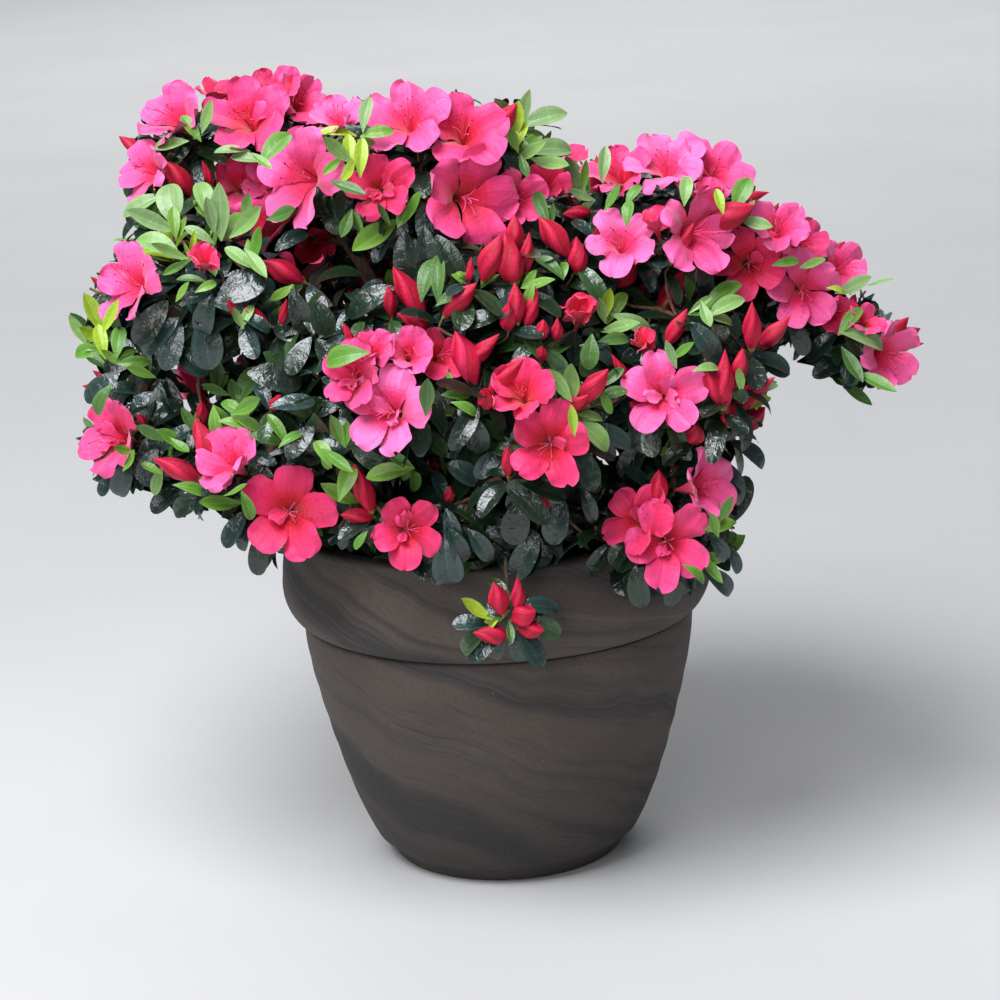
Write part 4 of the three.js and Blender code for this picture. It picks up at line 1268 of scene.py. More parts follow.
# What whorls are of: their kind, the number of leaves, their length, and their spread. Where a
# number or length varies, its least and most stand apart.
BEHIND_HERO_BLOOM = ("dark", 8, 29 * MM, (98, 66))
BEHIND_HERO_BUD = ("dark", 6, 29 * MM, (104, 70))
BEHIND_BLOOM = ("dark", 7, 30 * MM, (98, 66))
BEHIND_BUDS = ("dark", 6, 29 * MM, (100, 62))
UNDER_FRESH = ("dark", 4, 27 * MM, (104, 84))
FRESH_COUNTS, FRESH_LENGTH, FRESH_SPREAD = (5, 9), 24 * MM, (64, 22)
DARK_COUNTS, DARK_LENGTHS, DARK_SPREAD = (6, 10), (25 * MM, 32 * MM), (106, 56)
DROOPING_SHARE, DROOP, DROOP_SHARES = 0.35, 0.35, (0.3, 1)

DARK_ODDS = [0.26, 0.24, 0.2, 0.12, 0.12, 0.06]
FRESH_ODDS = [0.3, 0.22, 0.14, 0.1, 0.06, 0.18]


def dark_tint():
    return int(rng.choice(LAST_TINT + 1, p=DARK_ODDS))


def fresh_tint():
    return int(rng.choice(LAST_TINT + 1, p=FRESH_ODDS))


# What the photograph shows is lifted off the crown towards the eye. The front sprig is the one part
# that hangs clear of the masses' surface, so its features stand in a plane of their own.
BLOOM_LIFT, BUD_LIFT = 9 * MM, 6 * MM
LEAF_LIFT = {"fresh": 11 * MM, "dark": 6 * MM}
SPRIG_Y = -163 * MM
BLOOM_SCALE = 0.94
BLOOM_STALK = {"open": 0.45, "cupped": 0.5, "trumpet": 0.62, "half": 0.95}
BLOOM_STEM_UP, BUD_STEM_OUT = 0.5, 0.4
WHORL_BEHIND, WHORL_SPACING = 4 * MM, 13 * MM
# A leaf that the photograph shows leans to the eye a little, its upper side to the light. One
# longer than YOUNGER_BESIDE pixels has a younger one beside it.
LEAF_TO_EYE, LEAF_TO_LIGHT, LEAF_STRAY = (0.0, 0.25), 0.55, 0.2
YOUNGER_BESIDE = 29
YOUNGER_ASIDE, YOUNGER_TO_EYE, YOUNGER_LENGTH = (0.6, 1.0), (-0.5, 0.1), (0.55, 0.75)
YOUNGER_BEHIND = 2 * MM
RIM_COVERED = 0.45
BEFORE_BLOOM = 0.26
# How much of a feature's size nothing else may cover, and how far behind it that holds.
BLOOM_GUARD, BUD_GUARD, LEAF_GUARD, GUARD_DEPTH = 0.43, 0.42, 0.36, 3 * MM


def feature_place(feature, lift, sprig=False):
    pixel = (feature.x, feature.y)
    way = photo_ray(pixel)
    if sprig:
        return EYE + way * (SPRIG_Y - EYE[1]) / way[1]
    return seat(pixel) - way * lift


def depth_of(place):
    return to_photo(place[None])[1][0]


def add_bloom(growth, place, axis, size, kind, tint, extra, hero):
    """Adds a bloom, its mouth at place, and returns the foot of its stalk."""
    growth.blooms.append(dict(place=place, axis=axis, size=size, kind=kind, tint=tint,
                              extra=extra, hero=hero))
    return place - axis * size * BLOOM_STALK[kind]


def before_blooms(leaf, place):
    """A leaf's place, moved along its ray to stand before any bloom whose petals it overlaps."""
    way = photo_ray((leaf.x, leaf.y))
    for b in BLOOMS:
        if math.hypot(b.x - leaf.x, b.y - leaf.y) < 0.5 * b.across:
            petals = depth_of(feature_place(b, BLOOM_LIFT))
            petals -= BEFORE_BLOOM * b.across * METRES_PER_PIXEL
            place = place - way * max(0, depth_of(place) - petals)
    return place


def hero_blooms(growth):
    for f in BLOOMS:
        place = feature_place(f, BLOOM_LIFT)
        axis = facing(f.right, f.up)
        size = BLOOM_SCALE * f.across * METRES_PER_PIXEL
        foot = add_bloom(growth, place, axis, size, f.kind, f.tint, f.extra, True)
        growth.guards.append((f.x, f.y, BLOOM_GUARD * f.across, place, True))
        stem = unit(axis + BLOOM_STEM_UP * WORLD_UP)
        growth.tips.append((foot, stem))
        whorl(growth, foot - axis * WHORL_BEHIND, stem, *BEHIND_HERO_BLOOM, dark_tint(), SEEN)


def hero_buds(growth):
    feet = []
    for f, sprig in [(f, False) for f in BUDS] + [(f, True) for f in SPRIG_BUDS]:
        place = feature_place(f, BUD_LIFT, sprig)
        axis = photo_way(f.right, f.up)
        long = f.long * METRES_PER_PIXEL
        foot = place - axis * long / 2
        growth.buds.append(dict(foot=foot, axis=axis, size=long, plump=f.plump, tint=f.tint,
                                hero=True))
        growth.guards.append((f.x, f.y, BUD_GUARD * f.long, place, False))
        crowded = feet and np.min(np.linalg.norm(np.array(feet) - foot, axis=1)) < WHORL_SPACING
        if sprig or crowded:
            continue
        feet.append(foot)
        stem = unit(axis + BUD_STEM_OUT * BACK)
        whorl(growth, foot, stem, *BEHIND_HERO_BUD, dark_tint(), SEEN, True)
        growth.tips.append((foot, axis))


def hero_leaf(growth, kind, f, sprig):
    """A leaf that the photograph shows, and beside the larger new ones a younger leaf."""
    place = feature_place(f, LEAF_LIFT[kind], sprig)
    if kind == "fresh":
        place = before_blooms(f, place)
    way = unit(f.right * RIGHT + f.up * UP + rng.uniform(*LEAF_TO_EYE) * BACK)
    long = f.long * METRES_PER_PIXEL
    upper = BACK + LEAF_TO_LIGHT * WORLD_UP + rng.normal(0, LEAF_STRAY, 3)
    foot = place - way * long / 2
    growth.leaf(kind, foot, way, upper, long, f.tint, SEEN, True, f.wide)
    growth.guards.append((f.x, f.y, LEAF_GUARD * f.long, place, False))
    if kind == "fresh" and f.long > YOUNGER_BESIDE:
        side = rng.choice([-1, 1]) * rng.uniform(*YOUNGER_ASIDE) * np.cross(way, BACK)
        younger = unit(way + side + rng.uniform(*YOUNGER_TO_EYE) * BACK)
        short = long * rng.uniform(*YOUNGER_LENGTH)
        shade = int(rng.choice([f.tint, 0, 1]))
        growth.leaf(kind, foot - YOUNGER_BEHIND * BACK, younger, upper, short, shade, SEEN,
                    wide=f.wide)


def hero_shoots(growth):
    hero_blooms(growth)
    hero_buds(growth)
    for kind, sprig, leaves in (("fresh", False, FRESH), ("fresh", True, SPRIG_FRESH),
                                ("dark", False, DARK), ("dark", True, SPRIG_DARK)):
        for f in leaves:
            hero_leaf(growth, kind, f, sprig)


CLUSTER_LENGTHS, CLUSTER_COUNTS = (19 * MM, 28 * MM), (1, 5)
CLUSTER_SPREAD, CLUSTER_SIZES, CLUSTER_PLUMP, CLUSTER_TINTS = (14, 30), (0.8, 1.05), 1.1, 2


def cluster(growth, foot, axis):
    """Buds that part from one foot."""
    long, count = rng.uniform(*CLUSTER_LENGTHS), int(rng.integers(*CLUSTER_COUNTS))
    spread = 0 if count == 1 else np.radians(rng.uniform(*CLUSTER_SPREAD, count))
    ways, _ = ring_ways(axis, count, spread, rng.uniform(0, FULL_TURN))
    for way in ways:
        size = long * rng.uniform(*CLUSTER_SIZES)
        growth.buds.append(dict(foot=foot, axis=way, size=size, plump=CLUSTER_PLUMP,
                                tint=int(rng.integers(CLUSTER_TINTS)), hero=False))


BLOOM_SHARE, BUD_SHARE, FRESH_SHARE, SEEN_FRESH_SHARE = 0.44, 0.13, 0.21, 0.13
OUTSIDE_MARGIN = 8 * MM
RANDOM_BLOOM_SPACING = 36 * MM
RANDOM_BLOOM_SIZE, RANDOM_BLOOM_OUT = (50 * MM, 62 * MM), 16 * MM
RANDOM_BLOOM_TINTS, RANDOM_BLOOM_EXTRAS = (1, 4), [0, 0, 1, 3]
RANDOM_BLOOM_KINDS = ["open", "open", "cupped", "trumpet"]
BLOOM_EDGE, BLOOM_FLARE = 0.55, 0.3
UNDER_BLOOM, BLOOM_TWIG, UNDER_YOUNG = 12 * MM, 10 * MM, 6 * MM
BLOOM_AHEAD, BUD_AHEAD = 30 * MM, 20 * MM
LOOKING_AWAY = 0.3
RANDOM_BLOOM_FRONT = -50 * MM
HANGING = -0.3


def random_bloom(growth, tip, axis):
    """Adds a bloom where its petals may be and don't show past the outline; says if it did."""
    size = rng.uniform(*RANDOM_BLOOM_SIZE)
    kind = rng.choice(RANDOM_BLOOM_KINDS)
    mouth = tip + axis * RANDOM_BLOOM_OUT
    edges = mouth + BLOOM_EDGE * size * np.array([RIGHT, -RIGHT, UP, -UP])
    flare = mouth + BLOOM_FLARE * size * np.eye(3)[None]
    if not allowed(flare)[0] or beyond_outline(edges).any():
        return False
    tint, extra = int(rng.integers(*RANDOM_BLOOM_TINTS)), int(rng.choice(RANDOM_BLOOM_EXTRAS))
    add_bloom(growth, mouth, axis, size, kind, tint, extra, False)
    whorl(growth, tip - axis * UNDER_BLOOM, axis, *BEHIND_BLOOM, dark_tint(), OUTER)
    growth.tips.append((tip - axis * BLOOM_TWIG, axis))
    return True


def spread_shoots(growth):
    """What grows where the photograph shows no feature, and on the sides it doesn't show."""
    tips, axes, owners, seen = random_shoots()
    outside = beyond_outline(tips) | beyond_outline(tips - OUTSIDE_MARGIN * UP)
    for i in rng.permutation(len(tips)):
        if outside[i] or mass_names[owners[i]] == SPRIG_MASS:
            continue
        tip, axis, detail = tips[i], axes[i], SEEN if seen[i] else OUTER
        lot = rng.random()
        bloomed = np.array([b["place"] for b in growth.blooms])
        roomy = np.min(np.linalg.norm(bloomed - tip, axis=1)) > RANDOM_BLOOM_SPACING
        turned_away = not seen[i] and axis @ BACK < LOOKING_AWAY
        turned_away = turned_away and tip[1] > RANDOM_BLOOM_FRONT and axis[2] > HANGING
        if turned_away and lot < BLOOM_SHARE and roomy and not in_view(tip + axis * BLOOM_AHEAD):
            if random_bloom(growth, tip, axis):
                continue
        if turned_away and lot < BLOOM_SHARE + BUD_SHARE and not in_view(tip + axis * BUD_AHEAD):
            cluster(growth, tip, axis)
            whorl(growth, tip, axis, *BEHIND_BUDS, dark_tint(), OUTER)
        elif lot > 1 - (SEEN_FRESH_SHARE if seen[i] else FRESH_SHARE):
            young = int(rng.integers(*FRESH_COUNTS)), FRESH_LENGTH, FRESH_SPREAD
            whorl(growth, tip, axis, "fresh", *young, fresh_tint(), OUTER)
            whorl(growth, tip - axis * UNDER_YOUNG, axis, *UNDER_FRESH, dark_tint(), detail)
        else:
            droop = DROOP if rng.random() < DROOPING_SHARE else 0.0
            old = int(rng.integers(*DARK_COUNTS)), rng.uniform(*DARK_LENGTHS), DARK_SPREAD
            whorl(growth, tip, axis, "dark", *old, dark_tint(), detail, droop=droop)
        growth.tips.append((tip, axis))


INNER_LEAVES = 5600
INNER_DEPTHS, INNER_STRAY, INNER_UPPER_STRAY = (14 * MM, 50 * MM), 0.9, 0.5
INNER_LENGTHS = (24 * MM, 34 * MM)


def inner_leaves(growth):
    """Leaves below the outer ones, which close the crown's depths."""
    points, normals, _ = surface_samples(INNER_LEAVES)
    places = points - normals * rng.uniform(*INNER_DEPTHS, (len(points), 1))
    ways = unit(normals + rng.normal(0, INNER_STRAY, points.shape))
    for place, way in zip(places, ways):
        upper = WORLD_UP + rng.normal(0, INNER_UPPER_STRAY, 3)
        growth.leaf("dark", place, way, upper, rng.uniform(*INNER_LENGTHS), dark_tint(), INNER)


def hidden_by_hero(growth, middles, guards, before):
    """Which leaves would hide a feature of the photograph. Those in before may cover a bloom's
    rim."""
    photo, depth = to_photo(middles)
    hidden = np.zeros(len(middles), bool)
    for x, y, reach, place, for_all in growth.guards:
        near = np.linalg.norm(photo - (x, y), axis=1) < np.where(before, RIM_COVERED, 1) * reach
        hidden |= near & (depth < depth_of(place) + GUARD_DEPTH) & (for_all | ~guards)
    return hidden


# A bloom's tube and the room before its petals, in the bloom's own size: from and to which height
# along its axis, and out to which radius.
TUBE_ROOM, PETAL_ROOM = (-0.3, -0.1, 0.13), (-0.1, 0.4, 0.42)


def in_blooms(growth, spots):
    """Which rows of points reach into a bloom's tube or stand before its open petals."""
    inside = np.zeros(len(spots), bool)
    for b in growth.blooms:
        away = (spots - b["place"]) / b["size"]
        height = away @ b["axis"]
        radius = np.linalg.norm(away - height[..., None] * b["axis"], axis=-1)
        for low, high, across in (TUBE_ROOM, PETAL_ROOM):
            inside |= np.any((height > low) & (height < high) & (radius < across), axis=-1)
    return inside


# The limbs, on the lines of the CAD's, and the twigs that grow on from them.

SOIL_TOP = 189 * MM
STEM_FOOT = np.array([0, 0, 189.4]) * MM
STEM_TOP = np.array([3, -4, 229]) * MM
STEM_RADII = (12 * MM, 8.5 * MM)
STEM_SIDES, STEM_RELIEF, STEM_STRAY = 48, 0.035, 0.4 * MM
ROOT_FLARE, FLARE_FALLOFF = 0.75, 9
CAP_HEIGHTS = np.array([0, 3, 4.5]) * MM
CAP_RADII = np.array([1.0, 0.75, 0.15])
BOUGH_RADII = (5 * MM, 2.8 * MM)
BOUGH_SIDES, BOUGH_RELIEF, BOUGH_STRAY, BOUGH_ROWS = 16, 0.04, 1.6 * MM, 72
BOUGH_START_OFFSET, INSIDE_STEM = 5 * MM, 0.2
BOUGH_KNEE = np.array([0.42, 0.42, 0.56])
COLLAR, COLLAR_ROWS = 1.35, 8
SPRIG_CURVE = np.array([(6, -118, 240), (6, -157, 227), (6, -157, 191)]) * MM
SPRIG_RADII, SPRIG_ROWS, SPRIG_SIDES = (1.3 * MM, 0.9 * MM), 24, 10
STEM_ROWS, SMALL_RELIEF, HUB_SHARE = 60, 0.03, 0.62

# Each bough: the share of the stem's height it leaves at, how thick it is, and its end in mm.
BOUGHS = {
    "top_centre": (0.98, 1.0, (-34, -45, 431)),
    "top_left_high": (0.94, 1.1, (-128, 30, 450)),
    "top_back": (0.95, 1.0, (-34, 84, 410)),
    "right_upper": (0.92, 1.1, (113, -22, 395)),
    "left_middle": (0.72, 0.95, (-162, -55, 376)),
    "right_shoulder": (0.6, 1.0, (180, 0, 351)),
    "back_right": (0.72, 1.0, (114, 112, 345)),
    "back_left": (0.66, 1.0, (-145, 112, 362)),
    "centre_left": (0.78, 0.9, (-78, -108, 322)),
    "centre_right": (0.7, 0.9, (24, -116, 312)),
    "right_middle": (0.5, 0.9, (116, -82, 310)),
    "back_centre": (0.5, 0.9, (-8, 152, 345)),
}


def bezier(start, knee, end, count):
    s = np.linspace(0, 1, count)[:, None]
    return (1 - s) ** 2 * start + 2 * s * (1 - s) * knee + s**2 * end


# Strength and turns of the waves in which a limb wanders.
WANDERS = ((1.0, 1.3), (0.6, 2.9))


def wandering(path, reach):
    """A path that strays a little from its line, but not at its ends."""
    s = np.linspace(0, 1, len(path))[:, None]
    phases = rng.uniform(0, FULL_TURN, (2, 3))
    stray = sum(strength * np.sin(FULL_TURN * turns * s + phase)
                for (strength, turns), phase in zip(WANDERS, phases))
    return path + reach * stray * np.sin(math.pi * s)


class Tubes:
    """Tapering limbs, gathered as quads."""

    def __init__(self):
        self.points, self.quads, self.count = [], [], 0

    def add(self, path, radii, sides, relief=0.0):
        rings = tube_points(path, radii, sides)
        if relief:
            centre = path[:, None]
            rings = centre + (rings - centre) * bark_relief(len(path), sides, relief)
        self.points.append(rings.reshape(-1, 3))
        self.quads.append(ring_quads(len(path) - 1, sides) + self.count)
        self.count += len(path) * sides

    def piece(self, name, material):
        points, quads = np.concatenate(self.points), np.concatenate(self.quads)
        return make_piece(name, points, quads, [material], np.zeros(len(quads), int))


BARK_ROWS = 9
LESSER_RIDGE, FISSURE, KNOT, BARK_ROUGH = 0.8, 1.2, 0.6, 0.35


def bark_relief(rows, sides, relief):
    """The share by which each point of a limb stands out: ridges and fissures that run along it
    and wander round it, knots, and roughness. s counts rows along the limb, in BARK_ROWS."""
    turn = FULL_TURN * np.arange(sides)[None] / sides
    s = np.arange(rows)[:, None] / BARK_ROWS
    phase = rng.uniform(0, FULL_TURN, 6)
    ridges = np.sin(3 * turn + phase[0] + 0.5 * s)
    ridges = ridges + LESSER_RIDGE * np.sin(5 * turn + phase[1] - 0.7 * np.sin(s))
    fissures = -np.abs(np.sin(4 * turn + phase[2] + 1.1 * np.sin(1.7 * s + phase[3])))
    knots = np.sin(5.3 * s + phase[4]) * np.sin(2 * turn + phase[5])
    rough = rng.normal(0, BARK_ROUGH, (rows, sides))
    return 1 + relief * (ridges + FISSURE * fissures + KNOT * knots + rough)[..., None]


TWIG_ROWS, TWIG_SIDES, LAST_TWIG_SIDES = 5, 5, 4
# A twig's radius grows with this power of the number of tips it carries.
TWIG_RADIUS_EACH, TWIG_RADIUS_LEAST, TWIG_POWER = 0.75 * MM, 0.5 * MM, 0.45
TWIG_STRAY, NODE_STRAY = 0.02, 2 * MM
LAST_TWIG_RADII, TWIG_TAPER = (1.15 * MM, 0.75 * MM), 1.12
LAST_TWIG_KNEE, TWIG_KNEE, NODE_SHARES = 0.45, 0.4, (0.42, 0.6)


def add_twig(tubes, start, knee, end, radii, sides):
    gap = np.linalg.norm(end - start)
    path = wandering(bezier(start, knee, end, TWIG_ROWS), TWIG_STRAY * gap)
    tubes.add(path, np.linspace(*radii, TWIG_ROWS), sides)


def grow_twigs(tubes, start, came, tips):
    """Parts again and again towards the tips, thinner each time."""
    if len(tips) == 1:
        place, axis = tips[0]
        knee = place - axis * np.linalg.norm(place - start) * LAST_TWIG_KNEE
        add_twig(tubes, start, knee, place, LAST_TWIG_RADII, LAST_TWIG_SIDES)
        return
    places = np.array([t[0] for t in tips])
    far = places[np.argmax(np.sum((places - places.mean(0)) ** 2, 1))]
    other = places[np.argmax(np.sum((places - far) ** 2, 1))]
    nearer = np.sum((places - far) ** 2, 1) < np.sum((places - other) ** 2, 1)
    for group in (nearer, ~nearer):
        mine = [t for t, g in zip(tips, group) if g]
        if len(mine) == 1:
            grow_twigs(tubes, start, came, mine)
        elif mine:
            middle = places[group].mean(0)
            node = start + (middle - start) * rng.uniform(*NODE_SHARES)
            node = node + rng.normal(0, NODE_STRAY, 3)
            knee = start + came * np.linalg.norm(node - start) * TWIG_KNEE
            thick = TWIG_RADIUS_EACH * len(mine) ** TWIG_POWER + TWIG_RADIUS_LEAST
            add_twig(tubes, start, knee, node, (thick * TWIG_TAPER, thick), TWIG_SIDES)
            grow_twigs(tubes, node, unit(node - knee), mine)


def grow_limbs(growth):
    bark, twigs = Tubes(), Tubes()
    s = np.linspace(0, 1, STEM_ROWS)
    rise = STEM_TOP - STEM_FOOT
    flare = 1 + ROOT_FLARE * np.exp(-s * FLARE_FALLOFF)
    stem_line = wandering(STEM_FOOT + rise * s[:, None], STEM_STRAY)
    stem_radii = (STEM_RADII[0] + (STEM_RADII[1] - STEM_RADII[0]) * s) * flare
    bark.add(stem_line, stem_radii, STEM_SIDES, STEM_RELIEF)
    cap = STEM_TOP + WORLD_UP * CAP_HEIGHTS[:, None]
    bark.add(cap, CAP_RADII * STEM_RADII[1], STEM_SIDES, SMALL_RELIEF)
    hubs = []
    for share, thick, end in BOUGHS.values():
        leave = STEM_FOOT + rise * share
        end = np.array(end) * MM
        out = end - leave
        clear = unit(out * np.array([1, 1, 0])) * BOUGH_START_OFFSET
        start, knee = leave + clear * INSIDE_STEM, leave + clear + out * BOUGH_KNEE
        curve = bezier(start, knee, end, BOUGH_ROWS)
        path = wandering(curve, BOUGH_STRAY)
        radii = thick * np.linspace(*BOUGH_RADII, BOUGH_ROWS)
        radii[:COLLAR_ROWS] *= np.linspace(COLLAR, 1, COLLAR_ROWS)
        bark.add(path, radii, BOUGH_SIDES, BOUGH_RELIEF)
        middle = int(HUB_SHARE * len(path))
        hubs.append((end, unit(path[-1] - path[-4])))
        hubs.append((path[middle], unit(path[middle + 2] - path[middle])))
    sprig = bezier(*SPRIG_CURVE, SPRIG_ROWS)
    bark.add(sprig, np.linspace(*SPRIG_RADII, SPRIG_ROWS), SPRIG_SIDES, SMALL_RELIEF)
    hub_places = np.array([place for place, _ in hubs])
    shares = [[] for _ in hubs]
    for tip in growth.tips:
        shares[np.argmin(np.linalg.norm(hub_places - tip[0], axis=1))].append(tip)
    for (place, came), mine in zip(hubs, shares):
        if mine:
            grow_twigs(twigs, place, came, mine)
    return bark, twigs


# The pot and the mix in it. Profiles are radius and height in millimetres.

POT_TURNS, MIX_TURNS = 144, 120
BODY_ROWS, BAND_ROWS, RIM_ROWS, LIP_ROWS = 44, 15, 8, 6
MERGED = 1e-6
SHARP_ANGLE = math.radians(38)
BODY_RADII = np.array([78, 95, 106, 115, 119.5]) * MM
BODY_LOW, BODY_HIGH = 8 * MM, 154 * MM
POT_FOOT = [
    (0, 0), (30, 0), (67, 0), (68.8, 0.5), (70.2, 1.6), (72.5, 5.0), (73.1, 6.4), (73.3, 7.2),
    (74.3, 8.2), (77.0, 10.4),
]
UNDER_BAND = [(119.4, 153.2), (118.9, 154.2), (117.4, 154.9), (117.0, 155.4)]
BAND_MIDDLE, BAND_SIZE = np.array([116.5, 178]) * MM, np.array([15, 23]) * MM
RIM_LOW, RIM_HIGH, RIM_SWELL = np.array([131.5, 178]) * MM, np.array([127, 211]) * MM, 0.5 * MM
LIP_MIDDLE, LIP_RADIUS = np.array([123, 211]) * MM, 4 * MM
POT_INSIDE = [
    (118, 215), (116.4, 214.8), (115.2, 214.2), (114.3, 213), (113.8, 211), (112.4, 203),
    (111, 192), (109.6, 170), (109.4, 154), (105, 130), (96, 81), (84, 45), (71, 18), (69, 14.6),
    (66, 13.2), (62, 13), (30, 13), (0, 13),
]
DRAIN_CIRCLE, DRAIN_HOLES, DRAIN_TURNS = 33 * MM, 3, 32
DRAIN_PROFILE = [(0, -10), (7.28, -10), (7, 4), (7, 30), (0, 30)]
MIX_OUTSIDE = [
    (0, 13.4), (61, 13.4), (69.5, 17), (70.6, 18.4), (83.4, 45), (95.2, 81), (104.2, 130),
    (108.6, 154), (109, 170), (110, 186), (109.6, 188),
]
MIX_TOP_RADIUS, MIX_TOP_ROWS = 108.4 * MM, 44


def quarter_turn(count):
    """Angles from 0 to a right angle, but for the first."""
    return np.linspace(0, math.pi / 2, count + 1)[1:]


def pot_profile():
    """Radius and height round the pot's section, from under its floor to the floor's top."""
    knots = np.linspace(BODY_LOW, BODY_HIGH, len(BODY_RADII))
    z = np.linspace(BODY_LOW, BODY_HIGH, BODY_ROWS)
    body = np.stack([np.polyval(np.polyfit(knots, BODY_RADII, len(knots) - 1), z), z], -1)[2:-1]
    turn = quarter_turn(BAND_ROWS)
    band = BAND_MIDDLE + BAND_SIZE * np.stack([np.sin(turn), -np.cos(turn)], -1)
    rise = np.linspace(0, 1, RIM_ROWS + 1)[1:, None]
    side = RIM_LOW + rise * (RIM_HIGH - RIM_LOW)
    side += RIM_SWELL * np.sin(math.pi * rise) * np.array([1, 0])
    turn = quarter_turn(LIP_ROWS)
    lip = LIP_MIDDLE + LIP_RADIUS * np.stack([np.cos(turn), np.sin(turn)], -1)
    foot, under, inside = (np.array(part) * MM for part in (POT_FOOT, UNDER_BAND, POT_INSIDE))
    return np.concatenate([foot, body, under, band, side, lip, inside])


def turned_mesh(name, profile, turns, displace=None):
    """A profile turned about Z, with the middle rings merged, as a mesh."""
    turn = FULL_TURN * np.arange(turns) / turns
    r, z = profile[:, :1], profile[:, 1:]
    heights = np.broadcast_to(z, (len(z), turns))
    points = np.stack([r * np.cos(turn), r * np.sin(turn), heights], -1)
    if displace is not None:
        displace(points)
    mesh = bpy.data.meshes.new(name)
    quads = ring_quads(len(profile) - 1, turns)
    mesh.from_pydata(points.reshape(-1, 3).tolist(), [], quads.tolist())
    shell = bmesh.new()
    shell.from_mesh(mesh)
    bmesh.ops.remove_doubles(shell, verts=shell.verts, dist=MERGED)
    bmesh.ops.recalc_face_normals(shell, faces=shell.faces)
    shell.to_mesh(mesh)
    shell.free()
    return mesh


WALL_FROM_RADIUS, WALL_FROM_HEIGHT = 70 * MM, 9 * MM
THROWN_DEPTH, THROWN_PITCH, OVAL_DEPTH = 0.25 * MM, 3.1 * MM, 0.35 * MM
THROWN_DRIFT, OVAL_DRIFT = 40 * MM, 60 * MM


def hand_thrown(points):
    """Gives a pot's wall faint unevenness, in rings and all round."""
    r = np.linalg.norm(points[..., :2], axis=-1)
    z = points[..., 2]
    turn = np.arctan2(points[..., 1], points[..., 0])
    rings = np.sin(z / THROWN_PITCH + 0.4 * np.sin(2 * turn))
    off = THROWN_DEPTH * rings * np.sin(2.4 * turn + z / THROWN_DRIFT)
    off += OVAL_DEPTH * np.sin(3 * turn + z / OVAL_DRIFT)
    off *= (r > WALL_FROM_RADIUS) & (z > WALL_FROM_HEIGHT)
    points[..., :2] *= 1 + (off / np.maximum(r, 1e-4))[..., None]


def drill(mesh):
    """Cuts the drain holes in the pot's floor."""
    pot = linked("pot_blank", mesh)
    cutters = []
    for k in range(DRAIN_HOLES):
        turn = FULL_TURN * k / DRAIN_HOLES
        name = f"drain_{k}"
        cutter = linked(name, turned_mesh(name, np.array(DRAIN_PROFILE) * MM, DRAIN_TURNS))
        cutter.location = (DRAIN_CIRCLE * math.cos(turn), DRAIN_CIRCLE * math.sin(turn), 0)
        cut = pot.modifiers.new(name, "BOOLEAN")
        cut.operation, cut.solver, cut.object = "DIFFERENCE", "EXACT", cutter
        cutters.append(cutter)
    bpy.context.view_layer.update()
    graph = bpy.context.evaluated_depsgraph_get()
    made = bpy.data.meshes.new_from_object(pot.evaluated_get(graph))
    for o in [pot, *cutters]:
        bpy.data.objects.remove(o)
    return made


def turned_piece(name, mesh, material, record_slot, *nodes):
    mesh.materials.clear()
    mesh.materials.append(material)
    mesh.shade_smooth()
    mesh.set_sharp_from_angle(angle=SHARP_ANGLE)
    piece = linked(name, mesh)
    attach(piece, "root")
    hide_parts(*nodes)
    return piece


HEAP_HEIGHT, HEAP_SUNK, HEAP_SCALE, HEAP_NOISE = 1.8 * MM, 1 * MM, 120, (0.9, 2.1, 4)


def mix_mesh():
    low = np.array(MIX_OUTSIDE) * MM
    r = np.linspace(MIX_TOP_RADIUS, 0, MIX_TOP_ROWS)[:, None]
    profile = np.concatenate([low, np.concatenate([r, np.full_like(r, SOIL_TOP)], 1)])

    def heaped(points):
        for p in points[len(low) :].reshape(-1, 3):
            p[2] += HEAP_HEIGHT * noise.fractal(Vector(p) * HEAP_SCALE, *HEAP_NOISE) - HEAP_SUNK
        points[-1] = points[-1].mean(0)

    return turned_mesh("potting_mix_finish", profile, MIX_TURNS, heaped)


CRUMBS, CRUMB_ROWS, CRUMB_SIDES, CRUMB_ENDS, CRUMB_ROUGHNESS = 520, 4, 6, (0.02, 0.98), 0.2
CRUMBS_WITHIN, CRUMBS_BEYOND = 104 * MM, 20 * MM
CRUMB_SIZES, CRUMB_RAISED = (1.2 * MM, 4.2 * MM), 0.1
CRUMB_STRETCH = ((0.7, 1.6), (0.6, 1.1), (0.35, 0.8))


def crumb_piece(material):
    """Crumbs and bits of bark that lie on the mix."""
    s = np.linspace(*CRUMB_ENDS, CRUMB_ROWS + 1)
    path = (s - 0.5)[:, None] * WORLD_UP
    turn = FULL_TURN * np.arange(CRUMB_SIDES) / CRUMB_SIDES
    ring = np.stack([np.cos(turn), np.sin(turn), np.zeros(CRUMB_SIDES)], -1)
    points = path[:, None] + ring * np.sin(math.pi * s)[:, None, None] / 2
    points *= 1 + rng.uniform(-CRUMB_ROUGHNESS, CRUMB_ROUGHNESS, points.shape)
    quads = ring_quads(CRUMB_ROWS, CRUMB_SIDES)
    crumb = Template(points.reshape(-1, 3), quads, np.zeros(len(quads), int))
    far = CRUMBS_WITHIN * np.sqrt(rng.random(CRUMBS))
    turn = rng.uniform(0, FULL_TURN, CRUMBS)
    keep = far > CRUMBS_BEYOND
    far, turn, count = far[keep], turn[keep], keep.sum()
    size = rng.uniform(*CRUMB_SIZES, count)
    sizes = size[:, None] * np.stack([rng.uniform(*span, count) for span in CRUMB_STRETCH], -1)
    places = np.stack([far * np.cos(turn), far * np.sin(turn), SOIL_TOP + CRUMB_RAISED * size], -1)
    frames = frames_of(rng.normal(0, 1, (count, 3)), WORLD_UP + rng.normal(0, 0.5, (count, 3)))
    heap = Heap("mix_crumbs", [material], "mix", leaf_slots)
    heap.add(crumb, frames, sizes, places, np.zeros(count, int))
    return heap.build()


